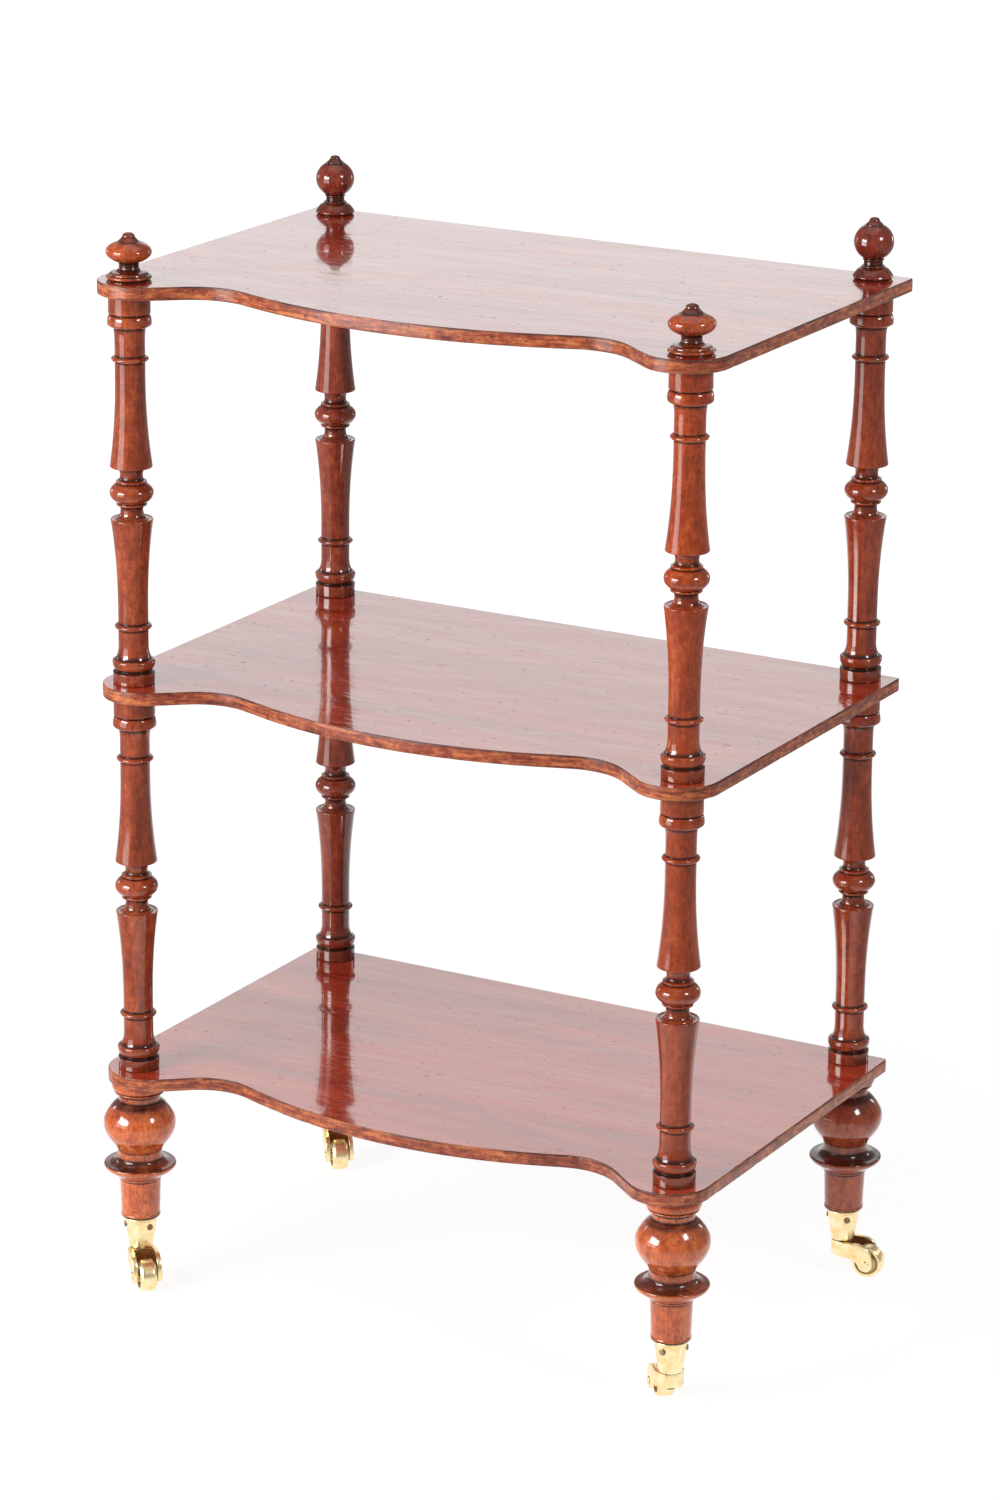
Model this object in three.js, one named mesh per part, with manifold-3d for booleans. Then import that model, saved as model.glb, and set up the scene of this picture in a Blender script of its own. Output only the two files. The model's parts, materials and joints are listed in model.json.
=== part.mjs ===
// Three-tier whatnot: serpentine shelves on turned posts, with finials above and brass castors below.
// Millimetres, +Z up, the bowed front towards -Y, origin on the floor under the middle of the shelves.

import * as THREE from 'three';
import { mergeVertices } from 'three/addons/utils/BufferGeometryUtils.js';
import Module from 'manifold-3d';

const wasm = await Module();
wasm.setup();

// Fits, cuts and facets
const fitGap = 0.3; // between pieces that meet
const overrun = 2; // how far a cut runs past its face
const turnedSides = 12;
const pinSides = 8;
const screwSides = 6;
const wheelSides = 16;
const arcSteps = 6;

// Shelves and where the posts stand on them
const postSpanX = 560;
const postSpanY = 353;
const storeyHeight = 372; // from one shelf top to the next
const shelfThickness = 12;
const sideOverhang = 31; // all three from the post's centre to the edge
const frontOverhang = 32;
const backOverhang = 20.5;
const rearCornerRadius = 4;

// Serpentine front: round corner, straight, hollow, straight, wide bow to the middle
const cornerRadius = 39;
const cornerSlope = THREE.MathUtils.degToRad(39.2);
const cornerFlat = 32.8;
const hollowRadius = 56;
const bowSlope = THREE.MathUtils.degToRad(20.1);
const bowFlat = 24;

// Round tenons that run through the shelves into the piece below
const tenonRadius = 7;
const tenonDepth = 18;

// Turned post: a ball a little below its middle, and the same both ways from there to the beads
const ballDrop = 2.3;
const ballRadius = 19.9;
const ballHalf = 9.6;
const ballShares = [1, 0.5, 0]; // of the way from its end to its middle
const filletRadius = 13.9;
const filletWidth = 1.8;
const neckRadius = 10.3;
const neckLength = 12.6; // from the fillet to the rim of the flare
const neckDeepestShare = 0.35;
const flareFaceRadius = 13;
const flareRadius = 19.4;
const taperLength = 85;
const taperShares = [0, 0.3, 1];
const taperPower = 2.2;
const shaftRadius = 13.7;
const beadRadius = 16.9;
const beadWidth = 5;
const capCoveLength = 10;
const capWidestShare = 0.3;
const endRadius = 19.1;

// Its two ends, from the shelf back: plain band, notch, cap and cove, and how far off the bead is
const upperEnd = {
  band: 17.8, notchWidth: 1.4, notchRadius: 17.5, capWidth: 11.6, capRadius: 20.1,
  coveRadius: 15, beadReach: 59.5,
};
const lowerEnd = {
  band: 11, notchWidth: 3, notchRadius: 16.8, capWidth: 9.6, capRadius: 19.6,
  coveRadius: 16.6, beadReach: 53.5,
};

// Finials: the front pair are flattened buns, the rear pair nearly balls
const finialFootShares = [[0.98, 0], [1, 0.12], [0.84, 0.6]]; // of the foot's radius and height
const finialCoveRadiusShare = 0.4; // from the waist's radius to the foot's
const finialCoveHeightShare = 0.9;
const finialWaistShare = 0.4;
const bunLowerShares = [0, 0.3, 0.65, 1];
const bunUpperShares = [0.6, 0.3, 0];
const tipShoulderRadiusShare = 0.55;
const tipShoulderHeightShare = 0.75;
const frontFinial = {
  footRadius: 20.6, footHeight: 8, waistRadius: 8.8, waistHeight: 8.5,
  bunRadius: 20.6, bunHeight: 17.1, tipRadius: 9.4, tipHeight: 8.5,
};
const rearFinial = {
  footRadius: 18.3, footHeight: 10, waistRadius: 8.4, waistHeight: 10,
  bunRadius: 18.2, bunHeight: 28.6, tipRadius: 7.6, tipHeight: 6.6,
};

// Turned foot, from the shelf down
const footTorusRadius = 25.4;
const footTorusHeight = 10.1;
const footTorusShares = [0.25, 0.75]; // where its widest band begins and ends
const footTorusTopShare = 0.94;
const footGrooveRadius = 22.4;
const footBeadRadius = 23.5;
const footBeadHeight = 3;
const footNeckRadius = 19.7;
const footNeckHeight = 7.7;
const bulbRadius = 33.6;
const bulbTopHeight = 22; // from the neck down to the widest place
const bulbBottomHeight = 24;
const bulbUpperShares = [0.5, 0];
const bulbLowerShares = [0.3, 0.65, 1];
const waistRadius = 20.9;
const waistHeight = 9.5;
const flangeRadius = 33.8;
const flangeCoveHeight = 5;
const flangeRimHeight = 5.2;
const flangeSlopeHeight = 8.5;
const flangeSlopeShare = 0.88; // from the collar's radius to the rim's
const flangeTopShare = 0.95; // from the waist's radius to the rim's
const flangeDishShare = 0.25;
const flangeDishHeightShare = 0.3;
const collarRadius = 20.5;
const collarHeight = 3;
const legTopRadius = 19.2;
const legBottomRadius = 18;
const legHeight = 34.2;
const lipRadius = 18.4;
const lipHeight = 3;

// Castor cup with its screws
const cupHeight = 31.6;
const cupTopRadius = 15.4;
const cupBottomRadius = 11;
const cupWall = 1.8;
const cupBase = 3;
const cupRimHeight = 2;
const cupRimProud = 0.5;
const screwCount = 3;
const screwDrop = 9; // from the cup's top
const screwHeadRadius = 3;
const screwHeadHeight = 1.7;
const screwShankRadius = 1.5;
const screwLength = 7;
const screwCrownShare = 0.75;

// Swivel pin through the cup's base and the fork
const swivelRadius = 3.2;
const swivelHeadRadius = 5.4;
const swivelHeadHeight = 2;
const swivelGap = 0.6; // between the cup and the fork
const rivetFaceShare = 0.7; // of the head's radius, on both kinds of pin

// Castor fork, its swivel at zero and its wheel trailing towards +X
const trail = 25.5;
const axleDrop = 19.5; // from the fork's top
const bossHeight = 14.5;
const noseLength = 9;
const noseHalf = 7;
const noseTaperEnd = 3;
const noseChamfer = 3;
const shoulderLength = 15;
const eyeRadius = 7;
const armJoinShare = 0.8; // of the eye's radius back from the axle, where the arm meets it
const armDropShare = 0.6; // and below it: three, four, five
const armBendShare = 1 / 3;
const cheekThickness = 4.2;
const cheekGap = 0.6; // each side of the wheel
const wheelGap = 1.5; // between the tread and the boss

// Castor wheel and its axle
const wheelRadius = 15;
const wheelWidth = 17.5;
const treadShoulder = 2.6;
const rimFaceRadius = 13.2;
const rimInnerRadius = 10.8;
const dishDepth = 2.4;
const hubRadius = 5.6;
const hubDepth = 1;
const axleRadius = 2.4;
const axleHeadRadius = 3.8;
const axleHeadHeight = 1;

// Which way each castor trails, in degrees from +X towards +Y
const castorTurns = { front_left: -46, front_right: 130, rear_right: 11, rear_left: -51 };

// Where the first of each cup's screws sits about the leg, in the same degrees
const screwTurns = { front_left: -20, front_right: -92, rear_right: -50, rear_left: -82 };

// Heights worked out from the floor up
const axleHeight = wheelRadius;
const forkTop = axleHeight + axleDrop;
const cupBottom = forkTop + swivelGap;
const cupTop = cupBottom + cupHeight;
const footBottom = cupTop + fitGap;
const footHeight = footTorusHeight + footBeadHeight + footNeckHeight + bulbTopHeight
  + bulbBottomHeight + waistHeight
  + flangeCoveHeight + flangeRimHeight + flangeSlopeHeight + collarHeight + legHeight + lipHeight;
const bottomShelfZ = footBottom + footHeight + fitGap;
const middleShelfZ = bottomShelfZ + storeyHeight;
const topShelfZ = middleShelfZ + storeyHeight;
const postLength = storeyHeight - shelfThickness - 2 * fitGap;

const corners = {
  front_left: [-postSpanX / 2, -postSpanY / 2],
  front_right: [postSpanX / 2, -postSpanY / 2],
  rear_left: [-postSpanX / 2, postSpanY / 2],
  rear_right: [postSpanX / 2, postSpanY / 2],
};

const etagere = new THREE.Group();

const mahogany = (color) => () => new THREE.MeshStandardMaterial({ color, roughness: 0.25, metalness: 0 });
const shelfWood = mahogany(0xa8583f);
const postWood = mahogany(0xa04f2a);
const footWood = mahogany(0xb8692f);
const brass = () => new THREE.MeshStandardMaterial({ color: 0xe0b45c, roughness: 0.22, metalness: 1 });
const steel = () => new THREE.MeshStandardMaterial({ color: 0x8a8078, roughness: 0.4, metalness: 1 });

// A closed body whose shared points are one, with faces of no area left out
function closedBody(geometry) {
  const bare = new THREE.BufferGeometry();
  bare.setAttribute('position', geometry.getAttribute('position'));
  bare.setIndex(geometry.getIndex());
  const merged = mergeVertices(bare, 1e-4);
  const index = merged.getIndex();
  const kept = [];
  for (let i = 0; i < index.count; i += 3) {
    const [a, b, c] = [index.getX(i), index.getX(i + 1), index.getX(i + 2)];
    if (a !== b && b !== c && c !== a) kept.push(a, b, c);
  }
  merged.setIndex(kept);
  return merged;
}

function toSolid(geometry) {
  const body = closedBody(geometry);
  return new wasm.Manifold(new wasm.Mesh({
    numProp: 3,
    vertProperties: new Float32Array(body.getAttribute('position').array),
    triVerts: new Uint32Array(body.getIndex().array),
  }));
}

function toGeometry(solid) {
  const mesh = solid.getMesh();
  const geometry = new THREE.BufferGeometry();
  geometry.setAttribute('position', new THREE.BufferAttribute(mesh.vertProperties, 3));
  geometry.setIndex(new THREE.BufferAttribute(mesh.triVerts, 1));
  geometry.computeVertexNormals();
  return geometry;
}

// The geometry with each of the cutters taken out of it
function cut(geometry, cutters) {
  const solid = cutters.reduce((rest, cutter) => rest.subtract(toSolid(cutter)), toSolid(geometry));
  return toGeometry(solid);
}

// A body turned about +Z from [radius, height] points that run upwards
function turned(profile, sides) {
  const points = profile.map(([radius, height]) => new THREE.Vector2(radius, height));
  return new THREE.LatheGeometry(points, sides).rotateX(Math.PI / 2);
}

// A round rod from one end to the other along +Z
function rod(radius, from, to, sides) {
  return turned([[0, from], [radius, from], [radius, to], [0, to]], sides);
}

// The corner radius of a bore whose flats clear a pin of this radius by the fit gap
const boreRadius = (radius, sides) => (radius + fitGap) / Math.cos(Math.PI / sides);

const tenonLength = shelfThickness + 2 * fitGap + tenonDepth;
const socketRadius = boreRadius(tenonRadius, turnedSides);
const socketDepth = tenonDepth + fitGap;

const mix = (from, to, share) => from + (to - from) * share;

// Radii of an ellipse about the axis, at shares of the way from where it is cut off to its widest
function swell(neckRadius, fullRadius, neckZ, fullZ, shares) {
  const cutSquared = 1 - (neckRadius / fullRadius) ** 2;
  return shares.map((share) => [
    fullRadius * Math.sqrt(1 - cutSquared * (1 - share) ** 2),
    mix(neckZ, fullZ, share),
  ]);
}

function add(name, geometry, material, parent = etagere) {
  const mesh = new THREE.Mesh(geometry, material());
  mesh.name = name;
  parent.add(mesh);
  return mesh;
}

// The front edge walked from the right-hand side to the middle, as a list of points
function frontEdge(halfWidth, frontY) {
  const points = [];
  let x = halfWidth;
  let y = frontY + cornerRadius;
  let heading = -Math.PI / 2;
  const arc = (radius, turn) => {
    const side = Math.sign(turn);
    const centreX = x - side * radius * Math.sin(heading);
    const centreY = y + side * radius * Math.cos(heading);
    for (let i = 0; i <= arcSteps; i += 1) {
      const at = heading + (turn * i) / arcSteps;
      points.push([centreX + side * radius * Math.sin(at), centreY - side * radius * Math.cos(at)]);
    }
    heading += turn;
    [x, y] = points[points.length - 1];
  };
  const straight = (length) => {
    x += length * Math.cos(heading);
    y += length * Math.sin(heading);
  };
  arc(cornerRadius, -(Math.PI / 2 + cornerSlope));
  straight(cornerFlat);
  arc(hollowRadius, cornerSlope + bowSlope);
  straight(bowFlat);
  arc(x / Math.sin(bowSlope), -bowSlope);
  return points;
}

// Shelf outline: serpentine front, straight sides and back, eased rear corners, four tenon holes
function shelfShape() {
  const halfWidth = postSpanX / 2 + sideOverhang;
  const backY = postSpanY / 2 + backOverhang;
  const right = frontEdge(halfWidth, -postSpanY / 2 - frontOverhang);
  const left = right.slice(0, -1).reverse().map(([x, y]) => [-x, y]);
  const shape = new THREE.Shape([...right, ...left].map(([x, y]) => new THREE.Vector2(x, y)));
  const easeX = halfWidth - rearCornerRadius;
  const easeY = backY - rearCornerRadius;
  shape.lineTo(-halfWidth, easeY);
  shape.absarc(-easeX, easeY, rearCornerRadius, Math.PI, Math.PI / 2, true);
  shape.absarc(easeX, easeY, rearCornerRadius, Math.PI / 2, 0, true);
  for (const [x, y] of Object.values(corners)) {
    const hole = Array.from({ length: turnedSides }, (_, i) => new THREE.Vector2(socketRadius, 0)
      .rotateAround(new THREE.Vector2(), (2 * Math.PI * i) / turnedSides)
      .add(new THREE.Vector2(x, y)));
    shape.holes.push(new THREE.Path(hole));
  }
  return shape;
}

function shelf(name, topZ) {
  const geometry = new THREE.ExtrudeGeometry(shelfShape(), {
    depth: shelfThickness,
    bevelEnabled: false,
    curveSegments: 3,
  });
  add(name, geometry, shelfWood).position.z = topZ;
}

// A post from its ball's middle out to the shelf, as [radius, distance] points
function postArm(end, reach) {
  const neckAt = ballHalf + filletWidth;
  const rimAt = neckAt + neckLength;
  const beadAt = reach - end.beadReach;
  const notchAt = reach - end.band - end.notchWidth;
  const capAt = notchAt - end.capWidth;
  const taper = taperShares.map((share) => [
    mix(shaftRadius, flareRadius, (1 - share) ** taperPower),
    rimAt + taperLength * share,
  ]);
  return [
    ...swell(filletRadius, ballRadius, ballHalf, 0, ballShares),
    [filletRadius, neckAt],
    [neckRadius, mix(neckAt, rimAt, neckDeepestShare)],
    [flareFaceRadius, rimAt],
    ...taper,
    [shaftRadius, beadAt - beadWidth / 2],
    [beadRadius, beadAt],
    [shaftRadius, beadAt + beadWidth / 2],
    [shaftRadius, capAt - capCoveLength],
    [end.coveRadius, capAt],
    [end.capRadius, mix(capAt, notchAt, capWidestShare)],
    [end.notchRadius, notchAt],
    [endRadius, notchAt + end.notchWidth],
    [endRadius, reach],
  ];
}

// A post with a tenon below and a socket above; its origin is its lower end
function post(name, x, y, z) {
  const middle = postLength / 2 - ballDrop;
  const below = postArm(lowerEnd, middle).slice(1).reverse();
  const above = postArm(upperEnd, postLength - middle);
  const body = [
    ...below.map(([radius, distance]) => [radius, middle - distance]),
    ...above.map(([radius, distance]) => [radius, middle + distance]),
  ];
  const profile = [
    [0, -tenonLength],
    [tenonRadius, -tenonLength],
    [tenonRadius, 0],
    ...body,
    [socketRadius, postLength],
    [socketRadius, postLength - socketDepth],
    [0, postLength - socketDepth],
  ];
  add(name, turned(profile, turnedSides), postWood).position.set(x, y, z);
}

// A finial on its tenon; its origin is where it stands on the top shelf
function finial(name, size, x, y) {
  const waistTop = size.footHeight + size.waistHeight;
  const bunMiddle = waistTop + size.bunHeight / 2;
  const bunTop = waistTop + size.bunHeight;
  const coveRadius = mix(size.waistRadius, size.footRadius, finialCoveRadiusShare);
  const profile = [
    [0, -tenonLength],
    [tenonRadius, -tenonLength],
    [tenonRadius, 0],
    ...finialFootShares.map(([wide, high]) => [size.footRadius * wide, size.footHeight * high]),
    [coveRadius, size.footHeight * finialCoveHeightShare],
    [size.waistRadius, mix(size.footHeight, waistTop, finialWaistShare)],
    ...swell(size.waistRadius, size.bunRadius, waistTop, bunMiddle, bunLowerShares),
    ...swell(size.tipRadius, size.bunRadius, bunTop, bunMiddle, bunUpperShares),
    [size.tipRadius * tipShoulderRadiusShare, bunTop + size.tipHeight * tipShoulderHeightShare],
    [0, bunTop + size.tipHeight],
  ];
  const z = topShelfZ + shelfThickness + fitGap;
  add(name, turned(profile, turnedSides), postWood).position.set(x, y, z);
}

// The cup's radius outside and inside, at a height above its bottom
const cupOuter = (height) => mix(cupBottomRadius, cupTopRadius, height / cupHeight);
const cupInner = (height) => cupOuter(height) - cupWall;
const pegBottom = cupBase + swivelHeadHeight + 3 * fitGap;
const screwHeight = cupHeight - screwDrop;

// A body turned about +Z laid across a cup at the place of one of its screws
function acrossCup(geometry, corner, i) {
  const turn = THREE.MathUtils.degToRad(screwTurns[corner]) + (2 * Math.PI * i) / screwCount;
  return geometry.rotateY(Math.PI / 2).rotateZ(turn).translate(0, 0, screwHeight);
}

// Rods that lie across a cup at its screws, from one distance out to another
function screwRods(corner, radius, from, to) {
  const place = (_, i) => acrossCup(rod(radius, from, to, screwSides), corner, i);
  return Array.from({ length: screwCount }, place);
}

const screwTip = cupOuter(screwHeight) + fitGap - screwLength;
const screwBore = boreRadius(screwShankRadius, screwSides);

// A foot with a socket above and a tapered peg that sits in the cup; its origin is the cup's bottom
function foot(corner, x, y) {
  const pegRadius = (height) => (cupInner(height) - fitGap) * Math.cos(Math.PI / turnedSides);
  let z = cupHeight + fitGap;
  const up = (height) => {
    z += height;
    return z;
  };
  const profile = [
    [0, pegBottom],
    [pegRadius(pegBottom), pegBottom],
    [pegRadius(cupHeight), z],
    [lipRadius, z],
    [lipRadius, up(lipHeight / 2)],
    [legBottomRadius, up(lipHeight / 2)],
    [legTopRadius, up(legHeight)],
    [collarRadius, up(collarHeight)],
    [mix(collarRadius, flangeRadius, flangeSlopeShare), up(flangeSlopeHeight)],
    [flangeRadius, up(flangeRimHeight / 2)],
    [mix(waistRadius, flangeRadius, flangeTopShare), up(flangeRimHeight / 2)],
    [mix(waistRadius, flangeRadius, flangeDishShare), up(flangeCoveHeight * flangeDishHeightShare)],
    [waistRadius, up(flangeCoveHeight * (1 - flangeDishHeightShare))],
    [waistRadius, up(waistHeight)],
    ...swell(waistRadius, bulbRadius, z, z + bulbBottomHeight, bulbLowerShares),
  ];
  z += bulbBottomHeight;
  profile.push(
    ...swell(footNeckRadius, bulbRadius, z + bulbTopHeight, z, bulbUpperShares),
    [footNeckRadius, z + bulbTopHeight + footNeckHeight],
  );
  z += bulbTopHeight + footNeckHeight;
  profile.push([footBeadRadius, up(footBeadHeight / 2)], [footGrooveRadius, up(footBeadHeight / 2)]);
  profile.push(
    ...footTorusShares.map((share) => [footTorusRadius, z + footTorusHeight * share]),
    [footTorusRadius * footTorusTopShare, z + footTorusHeight],
    [socketRadius, z + footTorusHeight],
    [socketRadius, z + footTorusHeight - socketDepth],
    [0, z + footTorusHeight - socketDepth],
  );
  const bores = screwRods(corner, screwBore, screwTip - fitGap, cupTopRadius + overrun);
  const body = cut(turned(profile, turnedSides), bores);
  add(`foot_${corner}`, body, footWood).position.set(x, y, cupBottom);
}

// A tapered cup open above, with a hole in its base for the swivel pin
function cup(corner, x, y) {
  const hole = boreRadius(swivelRadius, turnedSides);
  const profile = [
    [hole, 0],
    [cupBottomRadius, 0],
    [cupOuter(cupHeight - cupRimHeight), cupHeight - cupRimHeight],
    [cupTopRadius + cupRimProud, cupHeight - cupRimHeight / 2],
    [cupTopRadius, cupHeight],
    [cupInner(cupHeight), cupHeight],
    [cupInner(cupBase), cupBase],
    [hole, cupBase],
    [hole, 0],
  ];
  const bores = screwRods(corner, screwBore, screwTip, cupTopRadius + overrun);
  const body = cut(turned(profile, turnedSides), bores);
  add(`castor_cup_${corner}`, body, brass).position.set(x, y, cupBottom);
}

// The cup's screws, each with a domed head against its wall
function cupScrews(corner, x, y) {
  const seat = cupOuter(screwHeight) + fitGap;
  const profile = [
    [0, seat - screwLength],
    [screwShankRadius, seat - screwLength],
    [screwShankRadius, seat],
    [screwHeadRadius, seat],
    [screwHeadRadius * screwCrownShare, seat + screwHeadHeight * screwCrownShare],
    [0, seat + screwHeadHeight],
  ];
  for (let i = 0; i < screwCount; i += 1) {
    const body = acrossCup(turned(profile, screwSides), corner, i);
    add(`cup_screw_${i + 1}_${corner}`, body, steel).position.set(x, y, cupBottom);
  }
}

// The pin that holds the fork to the cup, riveted over at both ends; its origin is the fork's top
function swivelPin(name, x, y) {
  const headSeat = swivelGap + cupBase + fitGap;
  const rivetSeat = -bossHeight - fitGap;
  const profile = [
    [0, rivetSeat - swivelHeadHeight],
    [swivelHeadRadius * rivetFaceShare, rivetSeat - swivelHeadHeight],
    [swivelHeadRadius, rivetSeat],
    [swivelRadius, rivetSeat],
    [swivelRadius, headSeat],
    [swivelHeadRadius, headSeat],
    [swivelHeadRadius, headSeat + swivelHeadHeight],
    [0, headSeat + swivelHeadHeight],
  ];
  add(name, turned(profile, turnedSides), steel).position.set(x, y, forkTop);
}

const slotHalf = wheelWidth / 2 + cheekGap;
const forkHalf = slotHalf + cheekThickness;
const bossEnd = trail - wheelRadius / Math.cos(Math.PI / wheelSides) - wheelGap;

// Fork seen from the side, x along the trail and y up: boss, curved arm, round eye at the axle
function forkSide() {
  const shape = new THREE.Shape();
  shape.moveTo(-noseLength, 0);
  shape.lineTo(-noseLength, noseChamfer - bossHeight);
  shape.lineTo(noseChamfer - noseLength, -bossHeight);
  shape.lineTo(bossEnd, -bossHeight);
  const joinX = trail - eyeRadius * armJoinShare;
  const joinY = -axleDrop - eyeRadius * armDropShare;
  shape.quadraticCurveTo(trail - eyeRadius, -bossHeight - eyeRadius * armBendShare, joinX, joinY);
  shape.absarc(trail, -axleDrop, eyeRadius, Math.PI + Math.asin(armDropShare), 2 * Math.PI, false);
  shape.quadraticCurveTo(trail + eyeRadius, 0, shoulderLength, 0);
  return shape;
}

// Fork seen from above: a nose that narrows ahead of the swivel
function forkPlan() {
  const far = trail + eyeRadius + overrun;
  return new THREE.Shape([
    [-noseLength, -noseHalf], [noseTaperEnd, -forkHalf], [far, -forkHalf],
    [far, forkHalf], [noseTaperEnd, forkHalf], [-noseLength, noseHalf],
  ].map(([x, y]) => new THREE.Vector2(x, y)));
}

function forkGeometry() {
  const side = new THREE.ExtrudeGeometry(forkSide(), {
    depth: 2 * forkHalf + 2 * overrun, bevelEnabled: false, curveSegments: 4,
  });
  side.translate(0, 0, -forkHalf - overrun).rotateX(Math.PI / 2);
  const height = axleDrop + eyeRadius + 2 * overrun;
  const plan = new THREE.ExtrudeGeometry(forkPlan(), { depth: height, bevelEnabled: false });
  plan.translate(0, 0, overrun - height);
  const slotLength = trail + eyeRadius + overrun - bossEnd;
  const slot = new THREE.BoxGeometry(slotLength, 2 * slotHalf, 2 * height);
  slot.translate(bossEnd + slotLength / 2, 0, 0);
  const swivelBore = rod(boreRadius(swivelRadius, turnedSides), -bossHeight - overrun, overrun, turnedSides);
  const axleBore = rod(boreRadius(axleRadius, pinSides), -forkHalf - overrun, forkHalf + overrun, pinSides);
  axleBore.rotateX(Math.PI / 2).translate(trail, 0, -axleDrop);
  return cut(toGeometry(toSolid(side).intersect(toSolid(plan))), [slot, swivelBore, axleBore]);
}

// A wheel about the Y axis with a rounded tread, dished faces and a bore; a flat of it meets the floor
function wheelGeometry() {
  const half = wheelWidth / 2;
  const flats = 1 / Math.cos(Math.PI / wheelSides);
  const bore = boreRadius(axleRadius, wheelSides);
  const face = [
    [bore, hubDepth - half],
    [hubRadius, hubDepth - half],
    [hubRadius, dishDepth - half],
    [rimInnerRadius, dishDepth - half],
    [rimInnerRadius, -half],
    [rimFaceRadius, -half],
    [wheelRadius * flats, treadShoulder - half],
  ];
  const farFace = [...face].reverse().map(([radius, y]) => [radius, -y]);
  const profile = [...face, ...farFace, face[0]];
  return turned(profile, wheelSides).rotateZ(Math.PI / wheelSides).rotateX(Math.PI / 2);
}

// The axle pin across the fork, with a shallow rivet head outside each cheek
function axleGeometry() {
  const seat = forkHalf + fitGap;
  const profile = [
    [0, -seat - axleHeadHeight],
    [axleHeadRadius * rivetFaceShare, -seat - axleHeadHeight],
    [axleHeadRadius, -seat],
    [axleRadius, -seat],
    [axleRadius, seat],
    [axleHeadRadius, seat],
    [axleHeadRadius * rivetFaceShare, seat + axleHeadHeight],
    [0, seat + axleHeadHeight],
  ];
  return turned(profile, pinSides).rotateX(Math.PI / 2);
}

// Fork, wheel and axle turned together about the leg
function castor(corner, x, y) {
  const swivel = new THREE.Group();
  swivel.position.set(x, y, forkTop);
  swivel.rotation.z = THREE.MathUtils.degToRad(castorTurns[corner]);
  etagere.add(swivel);
  add(`castor_fork_${corner}`, forkGeometry(), brass, swivel);
  const axle = add(`axle_pin_${corner}`, axleGeometry(), brass, swivel);
  axle.position.set(trail, 0, -axleDrop);
  const wheel = add(`castor_wheel_${corner}`, wheelGeometry(), brass, swivel);
  wheel.position.set(trail, 0, -axleDrop);
}

shelf('bottom_shelf', bottomShelfZ);
shelf('middle_shelf', middleShelfZ);
shelf('top_shelf', topShelfZ);

for (const [corner, [x, y]] of Object.entries(corners)) {
  finial(`finial_${corner}`, corner.startsWith('front') ? frontFinial : rearFinial, x, y);
  post(`upper_post_${corner}`, x, y, middleShelfZ + shelfThickness + fitGap);
  post(`lower_post_${corner}`, x, y, bottomShelfZ + shelfThickness + fitGap);
  foot(corner, x, y);
  cup(corner, x, y);
  cupScrews(corner, x, y);
  swivelPin(`swivel_pin_${corner}`, x, y);
  castor(corner, x, y);
}

export default etagere;
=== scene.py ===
"""A polished mahogany whatnot: serpentine shelves on turned posts, with finials and brass castors."""

import json
import math

import bpy
import numpy as np
from mathutils import Matrix, Vector


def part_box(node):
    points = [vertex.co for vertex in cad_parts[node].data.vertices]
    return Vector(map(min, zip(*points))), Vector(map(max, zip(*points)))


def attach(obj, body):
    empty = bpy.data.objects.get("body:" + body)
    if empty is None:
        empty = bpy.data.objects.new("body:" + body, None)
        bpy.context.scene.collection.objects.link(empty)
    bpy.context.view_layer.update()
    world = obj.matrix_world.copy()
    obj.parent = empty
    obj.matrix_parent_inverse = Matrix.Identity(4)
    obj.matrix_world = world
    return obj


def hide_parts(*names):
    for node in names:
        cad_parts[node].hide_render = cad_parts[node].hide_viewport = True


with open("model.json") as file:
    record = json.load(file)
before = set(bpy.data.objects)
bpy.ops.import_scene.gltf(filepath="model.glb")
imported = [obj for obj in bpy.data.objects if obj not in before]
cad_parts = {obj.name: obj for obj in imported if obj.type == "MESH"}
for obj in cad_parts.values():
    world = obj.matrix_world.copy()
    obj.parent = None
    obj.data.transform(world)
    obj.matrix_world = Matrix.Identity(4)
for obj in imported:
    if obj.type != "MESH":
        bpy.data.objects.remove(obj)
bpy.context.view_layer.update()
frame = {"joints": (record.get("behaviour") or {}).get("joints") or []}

MM = 0.001
CORNERS = ("front_left", "front_right", "rear_right", "rear_left")

# Camera, from the photograph: place in metres, angles in degrees, lens and sensor in millimetres
CAMERA_PLACE = (2.1467, -3.8406, 1.8865)
CAMERA_AZIMUTH = 29.177
CAMERA_ELEVATION = 17.255
CAMERA_ROLL = 0.556
CAMERA_LENS = 120.9
SENSOR_HEIGHT = 36.0

# Studio: the room's light, the floor and backdrop in metres, and how white they are
ROOM_LIGHT = 0.28
FLOOR_REACH = 14.0
BACKDROP_AWAY = 6.5
BACKDROP_HALF = 2.6
BACKDROP_HEIGHT = 5.0
SQUARE = ((-1, -1), (1, -1), (1, 1), (-1, 1))
NEAR_GLOW = 0.9
BACK_GLOW = 1.02
FAR_GLOW = 0.3
SHEET_SHADE = 0.14
CAMERA_AWAY = 4.4
AIM_HEIGHT = 0.5

# Where the white lane gives way to the room, as shares of the distance from the camera
LANE_SIDE_SHARES = (0.13, 0.22)

# Where the lane begins in front of the object and where it is at its whitest, in metres behind the object
LANE_FRONT = (-1.3, -0.55)
LANE_BACK = (0.6, 2.2)

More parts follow.
